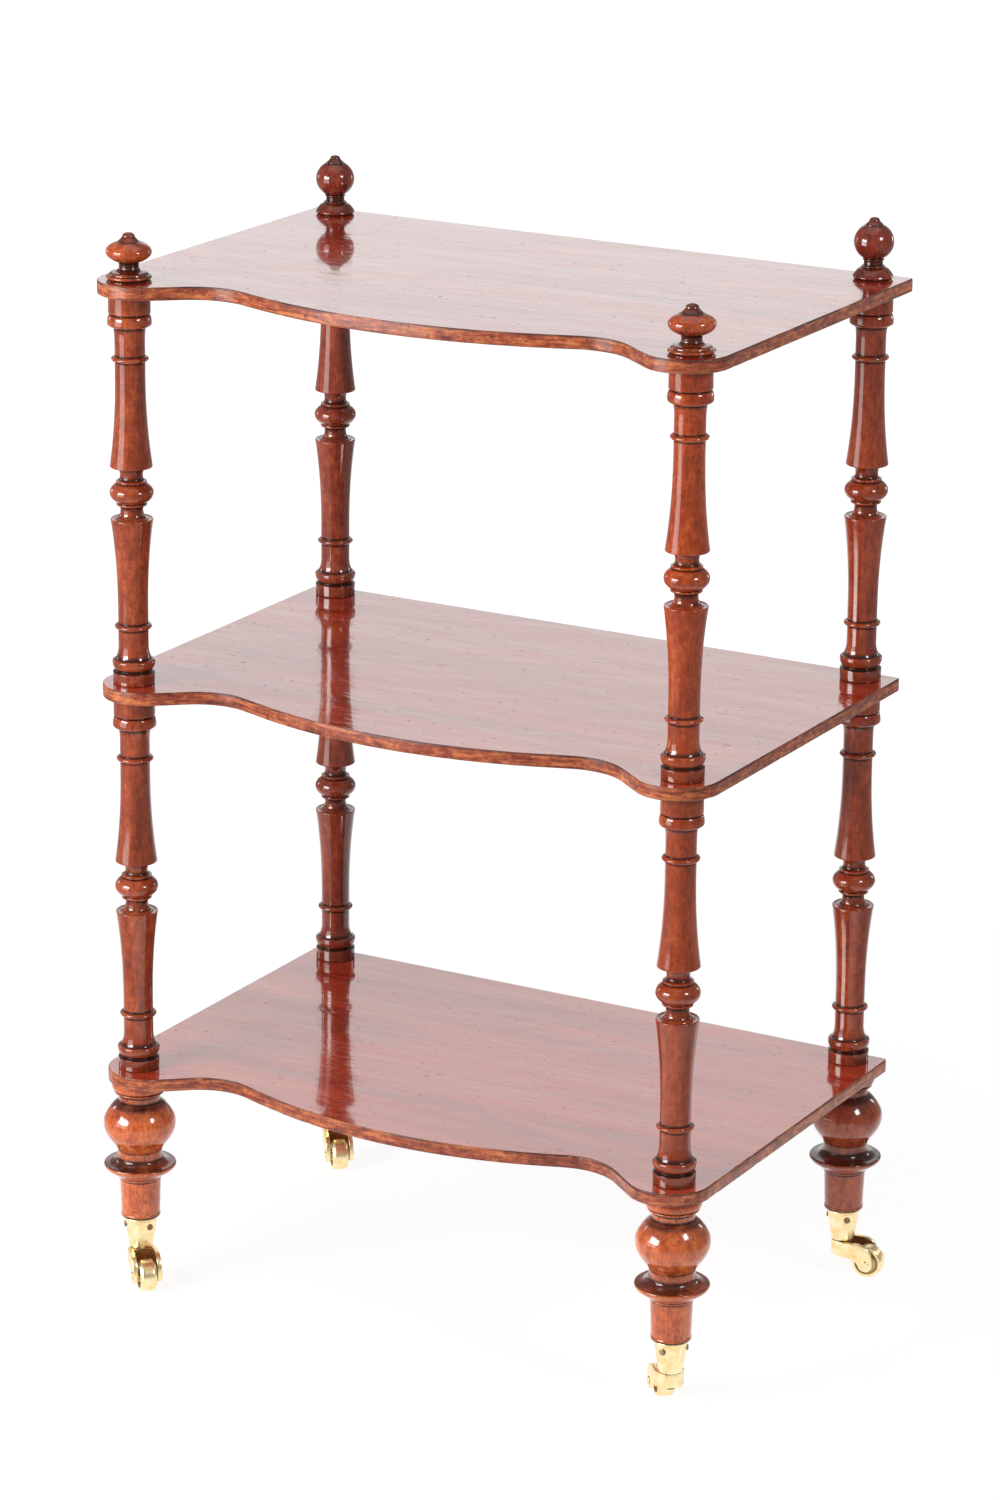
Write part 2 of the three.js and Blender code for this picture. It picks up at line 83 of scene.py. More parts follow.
# Softboxes: azimuth and elevation in degrees, then distance, width and height in metres, and glow
SOFTBOXES = {
    "key_softbox": (-30.0, 20.0, 2.8, 1.5, 0.7, 20.0),
    "low_softbox": (-34.0, 2.0, 2.2, 1.3, 0.9, 3.6),
    "right_softbox": (77.0, 33.0, 2.8, 0.6, 0.55, 22.0),
    "left_rim_strip": (-94.0, 12.0, 2.8, 0.25, 0.5, 8.0),
    "right_rim_strip": (156.0, 10.0, 2.8, 0.25, 0.5, 8.0),
    "ceiling_panel": (0.0, 89.0, 2.6, 2.4, 2.4, 0.6),
}

# Shelf outline, in millimetres and degrees
CORNER_RADIUS = 39.0
CORNER_SLOPE = 39.2
CORNER_FLAT = 32.8
HOLLOW_RADIUS = 56.0
BOW_SLOPE = 20.1
BOW_FLAT = 24.0
REAR_CORNER_RADIUS = 4.0
ARC_STEP = 1.2
OUTLINE_STEP = 1.5

# Shelf edge, in millimetres: its arrises, its slight swell, and how many nicks there are and the deepest
ARRIS_RADIUS = 1.1
ARRIS_LEAST_SHARE = 0.8
ARRIS_STEPS = 6
EDGE_SWELL = 0.12
UPPER_NICKS = (60, 1.0)
LOWER_NICKS = (40, 0.9)
NICK_WIDTHS = (0.6, 2.6)
NICK_DEPTH_SHARES = (0.15, 1.0)
WORN_DEPTH = 0.6
EDGE_SHARES = (0.2, 0.4, 0.6, 0.8)

# How dark old polish and painted shade make each arris
LOWER_ARRIS_WAX_AND_SHADE = 0.4
UPPER_ARRIS_WAX_AND_SHADE = 1.0

# Turned post, in millimetres: a ball a little below its middle, and the same both ways out to the beads
BALL_DROP = 2.3
BALL_RADIUS = 19.9
BALL_HALF = 9.6
FILLET_RADIUS = 13.9
FILLET_WIDTH = 1.8
FILLET_UNDERCUT = 1.4
NECK_RADIUS = 10.3
NECK_LENGTH = 12.6
NECK_SHOULDER = 4.0
FLARE_FACE_RADIUS = 14.6
FLARE_RADIUS = 19.4
FLARE_LENGTH = 85.0
FLARE_POWER = 2.2
SHAFT_RADIUS = 13.7
BEAD_RADIUS = 16.9
BEAD_WIDTH = 4.8
CAP_COVE_LENGTH = 12.0
CAP_COVE_POWER = 2.4
CAP_WIDEST_SHARE = 0.3
END_RADIUS = 19.1
EASING = 0.4

# The flare's dished face from the neck out: how far inside its edge, and how far past it
FLARE_FACE = ((4.4, 0.5), (2.2, 0.2), (0.6, -0.3), (0.0, 0.4))

# A post's ends from the shelf back: plain band, notch, cap and cove, the bead's place, and the share of
# old polish and painted shade
UPPER_END = {"band": 17.8, "notch": 1.4, "notch_radius": 17.6, "cap": 11.6, "cap_radius": 20.0,
             "cove_radius": 14.9, "bead": 59.5, "wax_and_shade_share": 0.75}
LOWER_END = {"band": 11.0, "notch": 3.0, "notch_radius": 16.8, "cap": 9.6, "cap_radius": 19.5,
             "cove_radius": 16.4, "bead": 53.5, "wax_and_shade_share": 1.0}

# How dark old polish and painted shade make a finial, by shares of its height: foot, waist and tip
FRONT_FINIAL_WAX_AND_SHADE_SHARES = (
    (0.0, 1.2), (0.03, 1.2), (0.042, 0.6), (0.07, 0.45), (0.1, 0.6), (0.106, 1.1), (0.115, 0.6), (0.16, 0.7),
    (0.168, 1.1), (0.18, 0.7), (0.3, 0.5), (0.36, 0.7), (0.42, 0.55), (0.47, 0.3), (0.55, 0.1), (0.62, 0.0),
    (0.74, 0.15), (0.79, 0.3), (0.802, 1.1), (0.82, 0.8), (0.88, 0.6), (1.0, 0.65),
)
REAR_FINIAL_WAX_AND_SHADE_SHARES = (
    (0.0, 1.2), (0.02, 1.2), (0.03, 0.5), (0.06, 0.4), (0.16, 0.5), (0.184, 0.7), (0.189, 1.1), (0.2, 0.5),
    (0.212, 0.5), (0.22, 1.1), (0.235, 0.55), (0.29, 0.55), (0.3, 0.9), (0.31, 0.5), (0.33, 1.0), (0.36, 0.6),
    (0.42, 0.3), (0.6, 0.05), (0.76, 0.2), (0.85, 0.4), (0.862, 1.1), (0.88, 0.8), (0.92, 0.55), (1.0, 0.6),
)

# How dark old polish, grime and painted shade make a foot, by height: lip, leg's top, flange's dish,
# bulb's top, neck
FOOT_WAX_GRIME_AND_SHADE = (
    (0.0, 1.6), (1.2, 1.6), (1.8, 0.3), (4.0, 0.2), (36.8, 0.05), (37.4, 1.1), (38.2, 1.1), (39.0, 0.15),
    (47.0, 0.4), (50.5, 0.15), (52.6, 0.3), (53.4, 0.95), (59.0, 1.0), (61.5, 0.5), (66.5, 0.25), (70.0, 0.3),
    (78.0, 0.0), (96.0, 0.1), (104.0, 0.3), (110.0, 0.5), (112.0, 0.95), (114.0, 0.95), (116.5, 0.4),
    (121.0, 0.3), (121.8, 1.1), (122.6, 0.35), (125.0, 0.3), (125.6, 1.1), (126.4, 0.35), (130.0, 0.2),
    (134.0, 0.35),
)
FOOT_WAX_GRIME_AND_SHADE_SCALE = {"front_left": 1.0, "front_right": 0.84, "rear_right": 0.9, "rear_left": 0.9}
PEG_LENGTH = 26.0

# Castor cup and its screws, in millimetres
CUP_BORE = 3.4
CUP_FLOOR = 3.0
CUP_FLOOR_RADIUS = 9.6
CUP_MOUTH_RADIUS = 13.6
CUP_RIM_HEIGHT = 3.5
SCREW_DEPTH = 5.0
SCREW_SHANK_RADIUS = 1.5
SCREW_HEAD_EDGE = 0.55
SCREW_HEAD_OUT = 14.35
DOME_RADIUS = 3.05
DOME_HEIGHT = 1.1
SLOT_HALF_WIDTH = 0.45
SLOT_SOFTNESS = 0.06
SLOT_DEPTH = 0.8

# How far each screw's slot is turned, in degrees: the first, and each one more than the last
SLOT_TURN = 82.0
SLOT_TURN_MORE = 47.0

# Castor fork, in millimetres from the swivel at its top, where the wheel trails along +X
TRAIL = 25.5
AXLE_DROP = 19.5
BOSS_HEIGHT = 14.5
BOSS_END = 8.7
NOSE_LENGTH = 9.0
NOSE_HALF = 7.0
NOSE_TAPER_END = 3.0
NOSE_CHAMFER = 3.0
SHOULDER_LENGTH = 15.0
EYE_RADIUS = 7.0
EYE_START_SINE = 0.6
FORK_HALF = 13.5
FORK_EASING = 0.45
SLOT_HALF = 9.35
CUT_DEPTH = 40.0
OVERRUN = 1.0
NEARLY = 0.1

# Axle, wheel and swivel pin, in millimetres
AXLE_RADIUS = 2.4
RIVET_RADIUS = 3.8
RIVET_HEIGHT = 1.3
WHEEL_RADIUS = 15.0
WHEEL_HALF = 8.75
WHEEL_BORE = 2.75
# Patina and painted shade on the wheel's face, by radius in millimetres: darkest where it is dished
WHEEL_PATINA_AND_SHADE = ((6.5, 0.1), (8.0, 0.6), (10.5, 0.6), (11.5, 0.0))
SWIVEL_RADIUS = 3.2
SWIVEL_HEAD_RADIUS = 5.4

# Angles in degrees past which shading stops being smooth, and past which an edge is eased
SHARP_ANGLE = 40.0
EASED_ANGLE = 30.0

# Fine turning, in millimetres: the step outlines are softened at, and what a groove and a cove count for
FINE_STEP = 0.1
GROOVE_WIDTH = 1.4
GROOVE_WEIGHT = 1.1
COVE_WIDTH = 5.0
COVE_WEIGHT = 0.06
POLE_RADIUS = 0.02

# Points round each ring of turned work
POST_AROUND = 64
FOOT_AROUND = 80
CUP_AROUND = 64
WHEEL_AROUND = 72
AXLE_AROUND = 40
PIN_AROUND = 48

# Old polish and grime; the darkest mixes, for hollows, smears and arrises, also stand for painted shade
WAX_AND_SHADE = (0.026, 0.007, 0.004)
SMEAR_AND_SHADE = (0.05, 0.009, 0.006)
FLECK = (0.04, 0.011, 0.006)
SPECK = (0.02, 0.008, 0.006)
EDGE_BLOT = (0.025, 0.008, 0.006)
EDGE_WAX_AND_SHADE = (0.03, 0.008, 0.005)


# Shaping turned work

class Turning:
    """The outline of turned work from its lower end up, in millimetres, added a stretch at a time.

    A stretch ends at a radius, a rise above where the last one ended.
    """

    def __init__(self, radius, height=0.0):
        self.points = [np.array([[radius, height]])]

    @property
    def end(self):
        """Where the last stretch ended: its radius and height."""
        return self.points[-1][-1]

    def _add(self, radii, heights):
        self.points.append(np.column_stack([radii, heights]))
        return self

    def line(self, radius, rise=0.0):
        """A straight stretch."""
        return self._add([radius], [self.end[1] + rise])

    def line_to(self, radius, height):
        """A straight stretch that ends at a height of its own."""
        return self._add([radius], [height])

    def upright(self, radius, rise, count=14):
        """A quarter of an ellipse that sets off upright and arrives level."""
        r, z = self.end
        t = np.linspace(0.0, math.pi / 2, count)[1:]
        return self._add(radius + (r - radius) * np.cos(t), z + rise * np.sin(t))

    def level(self, radius, rise, count=14):
        """A quarter of an ellipse that sets off level and arrives upright."""
        r, z = self.end
        t = np.linspace(0.0, math.pi / 2, count)[1:]
        return self._add(r + (radius - r) * np.sin(t), z + rise * (1.0 - np.cos(t)))

    def globe(self, radius, rise, count=20):
        """Part of an ellipse whose centre is on the axis, at its widest at one end of the stretch."""
        r, z = self.end
        widest = max(r, radius)
        cut = math.acos(min(r, radius) / widest)
        t = np.linspace(0.0, cut, count)[1:] if radius < r else np.linspace(cut, 0.0, count)[1:]
        gone = np.sin(t) / math.sin(cut)
        return self._add(widest * np.cos(t), z + rise * (gone if radius < r else 1.0 - gone))

    def bead(self, proud, rise):
        """Half an ellipse that stands proud of the radius it starts and ends at."""
        r = self.end[0]
        return self.level(r + proud, rise / 2).upright(r, rise / 2)

    def taper(self, radius, rise, power, count=24):
        """From the last radius to another, the change falling away as a power of what is left."""
        r, z = self.end
        s = np.linspace(0.0, 1.0, count)[1:]
        return self._add(radius + (r - radius) * (1.0 - s) ** power, z + rise * s)

    def flare(self, radius, rise, power, count=24):
        """The taper the other way up."""
        r, z = self.end
        s = np.linspace(0.0, 1.0, count)[1:]
        return self._add(r + (radius - r) * s ** power, z + rise * s)

    def through(self, *steps):
        """A smooth curve through points, each a radius and a rise above the point before it.

        Between two points it is a cubic whose slope at each is that of the chord past it on both sides.
        """
        path = np.vstack([self.end, np.array(steps)])
        path[:, 1] = np.cumsum(path[:, 1])
        length = np.concatenate([[0.0], np.cumsum(np.hypot(*np.diff(path, axis=0).T))])
        slope = np.gradient(path, length, axis=0)
        t = np.linspace(0.0, 1.0, 9)[1:, None]
        for k, chord in enumerate(np.diff(length)):
            ends = path[k] * (1 + 2 * t) * (1 - t) ** 2 + path[k + 1] * t ** 2 * (3 - 2 * t)
            slopes = slope[k] * t * (1 - t) ** 2 - slope[k + 1] * t ** 2 * (1 - t)
            self.points.append(ends + slopes * chord)
        return self

    def outline(self):
        """All the points, from the lower end up."""
        return np.concatenate(self.points)


def spaced(outline, step):
    """The outline again, with points at even steps along its length."""
    length = np.concatenate([[0.0], np.cumsum(np.hypot(*np.diff(outline, axis=0).T))])
    at = np.linspace(0.0, length[-1], max(int(length[-1] / step), 2))
    return np.column_stack([np.interp(at, length, outline[:, k]) for k in (0, 1)])


def softened(values, width):
    """Values run together with their neighbours by a bell of that width in steps, its ends held."""
    reach = int(3 * width) + 1
    bell = np.exp(-0.5 * (np.arange(-reach, reach + 1) / width) ** 2)
    padded = np.pad(values, reach, mode="reflect", reflect_type="odd")
    return np.convolve(padded, bell / bell.sum(), mode="valid")


def finished_outline(outline, ease=0.3, longest=2.2, sharpest=9.0):
    """The outline with its edges eased, its points gathered where it bends, and how hollow it is there.

    Fine even steps are softened, then points are kept so that each step is at most so many millimetres
    long and turns by at most so many degrees. Hollow adds up how far a narrow and a wide average of the
    radius stand above the radius itself.
    """
    fine = spaced(outline, FINE_STEP)
    fine = np.column_stack([softened(fine[:, k], ease / FINE_STEP) for k in (0, 1)])
    widths = (GROOVE_WIDTH, COVE_WIDTH)
    groove, cove = (softened(fine[:, 0], width / FINE_STEP) - fine[:, 0] for width in widths)
    hollow = GROOVE_WEIGHT * groove + COVE_WEIGHT * cove
    along = np.diff(fine, axis=0)
    turn = np.abs(np.diff(np.unwrap(np.arctan2(along[:, 1], along[:, 0]))))
    cost = np.hypot(*along.T) / longest
    cost[1:] += np.degrees(turn) / sharpest
    spent = np.concatenate([[0.0], np.cumsum(cost)])
    at = np.linspace(0.0, spent[-1], int(spent[-1]) + 2)
    kept = np.column_stack([np.interp(at, spent, fine[:, k]) for k in (0, 1)])
    kept[:, 0] = np.maximum(kept[:, 0], 0.0)
    return kept, np.interp(at, spent, hollow)


# Meshes and pieces

def carried_round(outline, around):
    """Rings of points: each radius and height of the outline carried round the upright axis."""
    angle = np.arange(around) * 2 * math.pi / around
    rings = np.empty((len(outline), around, 3))
    rings[..., 0] = outline[:, :1] * np.cos(angle)
    rings[..., 1] = outline[:, :1] * np.sin(angle)
    rings[..., 2] = outline[:, 1:]
    return rings


def skin(count, around, looped=False):
    """Four-cornered faces from each ring to the next and, where looped, from the last to the first."""
    i, j = np.meshgrid(np.arange(count if looped else count - 1), np.arange(around), indexing="ij")
    n = (i + 1) % count
    k = (j + 1) % around
    quads = np.stack([i * around + j, i * around + k, n * around + k, n * around + j], -1)
    return quads.reshape(-1, 4).tolist()


def new_mesh(name, points, faces):
    """A mesh from points in millimetres."""
    mesh = bpy.data.meshes.new(name)
    mesh.from_pydata((np.asarray(points) * MM).tolist(), [], faces)
    mesh.update()
    return mesh


def ring_mesh(name, rings, first=None, last=None):
    """A closed skin over rings of points, with a fan to a pole or one flat face at each end.

    Rings run upwards and their points run anticlockwise seen from above, so faces point outwards.
    """
    count, around = rings.shape[:2]
    points = rings.reshape(-1, 3)
    faces = skin(count, around)
    turn = np.arange(around)
    after = (turn + 1) % around
    base = (count - 1) * around
    if first is None:
        faces.append(turn[::-1].tolist())
    else:
        points = np.vstack([points, first])
        faces += list(zip([len(points) - 1] * around, after.tolist(), turn.tolist()))
    if last is None:
        faces.append((base + turn).tolist())
    else:
        points = np.vstack([points, last])
        faces += list(zip([len(points) - 1] * around, (base + turn).tolist(), (base + after).tolist()))
    return new_mesh(name, points, faces)


def store(mesh, name, values):
    """A number for each point of the mesh, padded with its last value for the poles."""
    attribute = mesh.attributes.new(name, "FLOAT", "POINT")
    full = np.full(len(mesh.vertices), float(values[-1]))
    full[:len(values)] = values
    attribute.data.foreach_set("value", full)


def turned_mesh(name, outline, place, around=POST_AROUND, darkenings=((0.0, 0.0),), **ease):
    """A surface of revolution: the outline carried round, with a pole where an end of it is on the axis.

    The outline is radius and height in millimetres, and place is the matrix that takes it from the origin
    to the object. Darkenings are pairs of a height and how dark it is there: old polish and painted shade.
    """
    kept, hollow = finished_outline(outline, **ease)
    # How dark each ring is painted, by height: old polish and painted shade
    soil_and_shade = np.interp(kept[:, 1], *zip(*darkenings))
    on_axis = kept[:, 0] < POLE_RADIUS
    poles = [(0.0, 0.0, kept[end, 1]) if on_axis[end] else None for end in (0, -1)]
    walls = slice(int(on_axis[0]), len(kept) - int(on_axis[-1]))
    mesh = ring_mesh(name, carried_round(kept[walls], around), *poles)
    store(mesh, "hollow", np.repeat(hollow[walls], around))
    store(mesh, "soil_and_shade", np.repeat(soil_and_shade[walls], around))
    mesh.transform(place)
    return mesh


def looped_mesh(name, outline, place, around, darkened, **ease):
    """A closed outline carried round the axis, its last ring joined to its first.

    Its function argument says how dark each point of the outline is painted, from its radii and its heights:
    painted shade inside the cup, and patina and painted shade in the wheel's dish.
    """
    kept, hollow = (values[:-1] for values in finished_outline(outline, **ease))
    mesh = new_mesh(name, carried_round(kept, around).reshape(-1, 3), skin(len(kept), around, looped=True))
    store(mesh, "hollow", np.repeat(hollow, around))
    store(mesh, "soil_and_shade", np.repeat(darkened(*kept.T), around))
    mesh.transform(place)
    return mesh


def upright_at(node, height):
    """The matrix that takes turned work to the middle of a node, seen from above, at a height in metres."""
    low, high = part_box(node)
    return Matrix.Translation(((low.x + high.x) / 2, (low.y + high.y) / 2, height))


def place_piece(node, mesh, body, slot, *materials):
    """A finished piece at the origin, smooth shaded, riding on its body and standing for its node."""
    piece = bpy.data.objects.new(mesh.name, mesh)
    bpy.context.collection.objects.link(piece)
    for material in materials:
        mesh.materials.append(material)
    mesh.polygons.foreach_set("use_smooth", np.ones(len(mesh.polygons), bool))
    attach(piece, body)
    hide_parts(node)


# Shader maths

class Value:
    """A socket's value. Python's operators on it add Math nodes to the same material."""

    def __init__(self, finish, socket):
        self.finish = finish
        self.socket = socket

    def _maths(self, operation, *operands, clamp=False):
        settings = {"operation": operation, "use_clamp": clamp}
        return self.finish.node("ShaderNodeMath", settings, dict(enumerate(operands)))

    def __add__(self, other):
        return self._maths("ADD", self, other)

    def __radd__(self, other):
        return self._maths("ADD", other, self)

    def __sub__(self, other):
        return self._maths("SUBTRACT", self, other)

    def __rsub__(self, other):
        return self._maths("SUBTRACT", other, self)

    def __mul__(self, other):
        return self._maths("MULTIPLY", self, other)

    def __rmul__(self, other):
        return self._maths("MULTIPLY", other, self)

    def __truediv__(self, other):
        return self._maths("DIVIDE", self, other)

    def __rtruediv__(self, other):
        return self._maths("DIVIDE", other, self)

    def clamped(self):
        """The value held between nothing and one."""
        return self._maths("ADD", self, 0.0, clamp=True)

    def most(self, other):
        """The larger of two values."""
        return self._maths("MAXIMUM", self, other)


class Finish:
    """A material built from nodes, with a Principled shader whose constants are set on its own sockets.

    Its patterns lie on object coordinates, and a shift takes them from another place in the wood.
    """

    def __init__(self, name, shift=(0.0, 0.0, 0.0), **constants):
        self.material = bpy.data.materials.new(name)
        self.material.use_nodes = True
        self.tree = self.material.node_tree
        self.shader = self.tree.nodes["Principled BSDF"]
        self.shift = shift
        for socket, value in constants.items():
            self.shader.inputs[socket.replace("_", " ")].default_value = value
        self.place = self.node("ShaderNodeTexCoord", {}, {}, "Object")

    def node(self, kind, settings, inputs, output=0):
        """A node of any kind: its settings first, then the values or links of its sockets."""
        made = self.tree.nodes.new(kind)
        stops = settings.pop("stops", None)
        for key, value in settings.items():
            setattr(made, key, value)
        if stops:
            ramp = made.color_ramp
            while len(ramp.elements) < len(stops):
                ramp.elements.new(0.5)
            for element, (position, colour) in zip(ramp.elements, stops):
                element.position = position
                element.color = (*colour, 1.0)
        for key, value in inputs.items():
            if isinstance(value, Value):
                self.tree.links.new(value.socket, made.inputs[key])
            else:
                made.inputs[key].default_value = value
        return Value(self, made.outputs[output])

    def noise(self, scale, detail=3.0, roughness=0.55, distortion=0.0):
        """Noise of one scale or, where it is three, stretched along each axis and shifted."""
        place, evenly = self.place, scale
        if isinstance(scale, tuple):
            stretch = {"Vector": self.place, "Scale": scale, "Location": self.shift}
            place, evenly = self.node("ShaderNodeMapping", {}, stretch), 1.0
        inputs = {"Vector": place, "Scale": evenly, "Detail": detail, "Roughness": roughness,
                  "Distortion": distortion}
        return self.node("ShaderNodeTexNoise", {}, inputs)

    def between(self, value, low, high, to_low=0.0, to_high=1.0):
        """The value's stretch from low to high mapped smoothly onto another and held outside it."""
        inputs = {"Value": value, "From Min": low, "From Max": high, "To Min": to_low, "To Max": to_high}
        return self.node("ShaderNodeMapRange", {"interpolation_type": "SMOOTHSTEP"}, inputs)

    def ramp(self, value, *stops):
        """Colours by a value, each stop a value and its colour."""
        return self.node("ShaderNodeValToRGB", {"stops": stops}, {"Fac": value})

    def mixed(self, share, first, second):
        """Two colours mixed by a share."""
        colours = [(*c, 1.0) if isinstance(c, tuple) else c for c in (first, second)]
        return self.node("ShaderNodeMix", {"data_type": "RGBA"}, {0: share, 6: colours[0], 7: colours[1]}, 2)

    def part_of(self, vector, axis):
        """A vector's part along one axis."""
        return self.node("ShaderNodeSeparateXYZ", {}, {0: vector}, axis)

    def attribute(self, name):
        """A number stored at the mesh's points."""
        return self.node("ShaderNodeAttribute", {"attribute_name": name}, {}, "Fac")

    def bumped(self, height, strength, distance):
        """The surface's direction, tilted by the slope of a height."""
        return self.node("ShaderNodeBump", {}, {"Height": height, "Strength": strength, "Distance": distance})

    def feed(self, **links):
        """The finished material, with values linked to the shader's sockets."""
        for socket, value in links.items():
            self.tree.links.new(value.socket, self.shader.inputs[socket.replace("_", " ")])
        return self.material


# Finishes

def turned_mahogany(name, dark, body, light, shift, grime=1.0, darker_below=0.0):
    """Polished turned mahogany: cloudy figure, short pores, specks, old polish and painted shade in the
    hollows, and worn edges with a painted highlight.

    It darkens evenly downwards, from none at the top shelf's height to the given share at the bottom shelf's.
    """
    f = Finish(name, shift, Specular_IOR_Level=0.1, Coat_Roughness=0.1, Coat_IOR=1.58)
    cloud = f.noise((58.0, 58.0, 15.0), 4.0, 0.62, 0.6)
    fibres = f.noise((560.0, 560.0, 60.0), 2.0, 0.6)
    mottle = f.noise((150.0, 150.0, 120.0), 4.0, 0.7)
    tone = cloud * 0.38 + fibres * 0.2 + mottle * 0.42
    pores = f.between(f.noise((950.0, 950.0, 200.0), 2.0, 0.6), 0.6, 0.7)
    flecks = f.between(f.noise((420.0, 420.0, 190.0), 3.0, 0.65), 0.62, 0.7)
    blots = f.between(f.noise((130.0, 130.0, 105.0), 4.0, 0.72), 0.61, 0.7)
    patchy = f.noise(170.0, 3.0, 0.7)
    drift = f.between(f.noise((30.0, 30.0, 30.0), 3.0, 0.6), 0.36, 0.62, 0.6, 1.0)
    hollow = f.attribute("hollow")
    # Old polish and painted shade from the height tables: smeared, and crusted where darkest
    varied_soil_and_shade = f.attribute("soil_and_shade") * drift
    smear_and_shade = f.between(varied_soil_and_shade + patchy * 0.25, 0.15, 0.95)
    crust_and_shade = f.between(varied_soil_and_shade + patchy * 0.3, 0.9, 1.12)
    # Painted shade and old polish in the grooves and coves, and where the height tables are darkest
    wax_and_shade = (f.between(hollow + patchy * 0.3, 0.22, 0.46).most(crust_and_shade) * 0.96).clamped()
    # Wear and a painted highlight: lighter on the proud edges
    worn_and_highlit = f.between(hollow * -1.0, 0.3, 1.0) * f.between(patchy, 0.35, 0.65)
    colour = f.ramp(tone, (0.34, dark), (0.5, body), (0.68, light))
    colour = f.mixed(worn_and_highlit * 0.35, colour, light)
    colour = f.mixed(f.between(f.part_of(f.place, 2), 0.2, 0.95, darker_below, 0.0), colour, dark)
    colour = f.mixed(pores * (0.4 * grime), colour, dark)
    colour = f.mixed(blots * (0.45 * grime), colour, dark)
    colour = f.mixed((flecks * (0.7 * grime)).clamped(), colour, FLECK)
    colour = f.mixed(smear_and_shade * 0.92, colour, SMEAR_AND_SHADE)
    colour = f.mixed(wax_and_shade * 0.96, colour, WAX_AND_SHADE)
    rough = 0.17 + f.between(mottle, 0.3, 0.7) * 0.1 + flecks * 0.2
    polish = 0.9 - wax_and_shade * 0.5
    height = f.noise(210.0, 3.0, 0.55) * 0.4 - pores * 0.25 + fibres * 0.15 - flecks * 0.3
    normal = f.bumped(height, 0.3, 0.35 * MM)
    return f.feed(Base_Color=colour, Roughness=rough, Coat_Weight=polish, Normal=normal)


def shelf_mahogany(name, dark, body, light, gloss):
    """French-polished mahogany boards: grain along the shelf, streaks, pores, specks and a rippled polish."""
    f = Finish(name, Specular_IOR_Level=0.5, Coat_Roughness=0.045, Coat_IOR=1.93)
    figure = f.noise((1.7, 17.0, 17.0), 4.0, 0.6, 0.7)
    streaks = f.noise((3.4, 150.0, 40.0), 4.0, 0.65, 0.3)
    fibres = f.noise((16.0, 700.0, 60.0), 2.0, 0.6)
    bands = f.noise((2.2, 28.0, 28.0), 4.0, 0.6, 0.4)
    tone = figure * 0.5 + streaks * 0.38 + fibres * 0.2
    pores = f.between(f.noise((75.0, 1500.0, 60.0), 1.0), 0.62, 0.7)
    darkenings = f.between(f.noise((5.0, 14.0, 14.0), 4.0, 0.65), 0.6, 0.75)
    specks = f.between(f.noise((150.0, 260.0, 200.0), 2.0, 0.6), 0.68, 0.73)
    colour = f.ramp(tone, (0.38, dark), (0.54, body), (0.72, light))
    colour = f.mixed(pores * 0.4, colour, dark)
    colour = f.mixed(darkenings * 0.45, colour, dark)
    colour = f.mixed(specks * 0.85, colour, SPECK)
    rough = gloss + f.between(streaks, 0.35, 0.75) * 0.05 + fibres * 0.03 + specks * 0.3
    sheen = streaks * 0.5 + fibres * 0.3 + bands * 0.2
    polish = f.between(sheen, 0.4, 0.6, 1.0, 0.9) - specks * 0.7
    warp = f.noise((6.0, 18.0, 6.0), 1.0)
    ripple = f.noise((24.0, 70.0, 9.0), 2.0, 0.5)
    ridges = f.noise((30.0, 170.0, 20.0), 2.0, 0.5)
    height = warp * 16.0 + ripple * 5.0 + ridges * 1.2 + streaks * 0.3 + fibres * 0.15 - pores * 0.2
    normal = f.bumped(height, 0.4, 0.3 * MM)
    return f.feed(Base_Color=colour, Roughness=rough, Coat_Weight=polish, Normal=normal)


def edge_mahogany(name, dark, body, light, worn):
    """The shelf's moulded edge: warmer wood, grain across it, old polish and painted shade at the arrises,
    worn at the nicks.
    """
    f = Finish(name, Specular_IOR_Level=0.45, Coat_Weight=0.25, Coat_Roughness=0.15, Coat_IOR=1.5)
    figure = f.noise((15.0, 20.0, 190.0), 4.0, 0.65, 0.9)
    fibres = f.noise((60.0, 90.0, 620.0), 3.0, 0.6)
    mottle = f.noise((110.0, 110.0, 170.0), 4.0, 0.68)
    tone = figure * 0.42 + fibres * 0.26 + mottle * 0.34
    blots = f.between(f.noise(130.0, 3.0, 0.7), 0.6, 0.68)
    wax_and_shade_patches = f.between(f.noise(14.0, 3.0, 0.6), 0.38, 0.58, 0.25, 1.0)
    arris = f.attribute("arris")
    wear = f.attribute("wear")
    colour = f.ramp(tone, (0.39, dark), (0.49, body), (0.6, light))
    colour = f.mixed(blots * 0.7, colour, EDGE_BLOT)
    # Painted shade and old polish along the arrises, in patches
    colour = f.mixed(arris * wax_and_shade_patches * f.between(mottle, 0.3, 0.6, 0.6, 0.9), colour, EDGE_WAX_AND_SHADE)
    colour = f.mixed(wear * 0.5, colour, worn)
    rough = 0.26 + mottle * 0.14 + wear * 0.25 + arris * 0.2
    height = fibres * 0.5 + mottle * 0.6 - wear * 0.6
    return f.feed(Base_Color=colour, Roughness=rough, Normal=f.bumped(height, 0.4, 0.3 * MM))


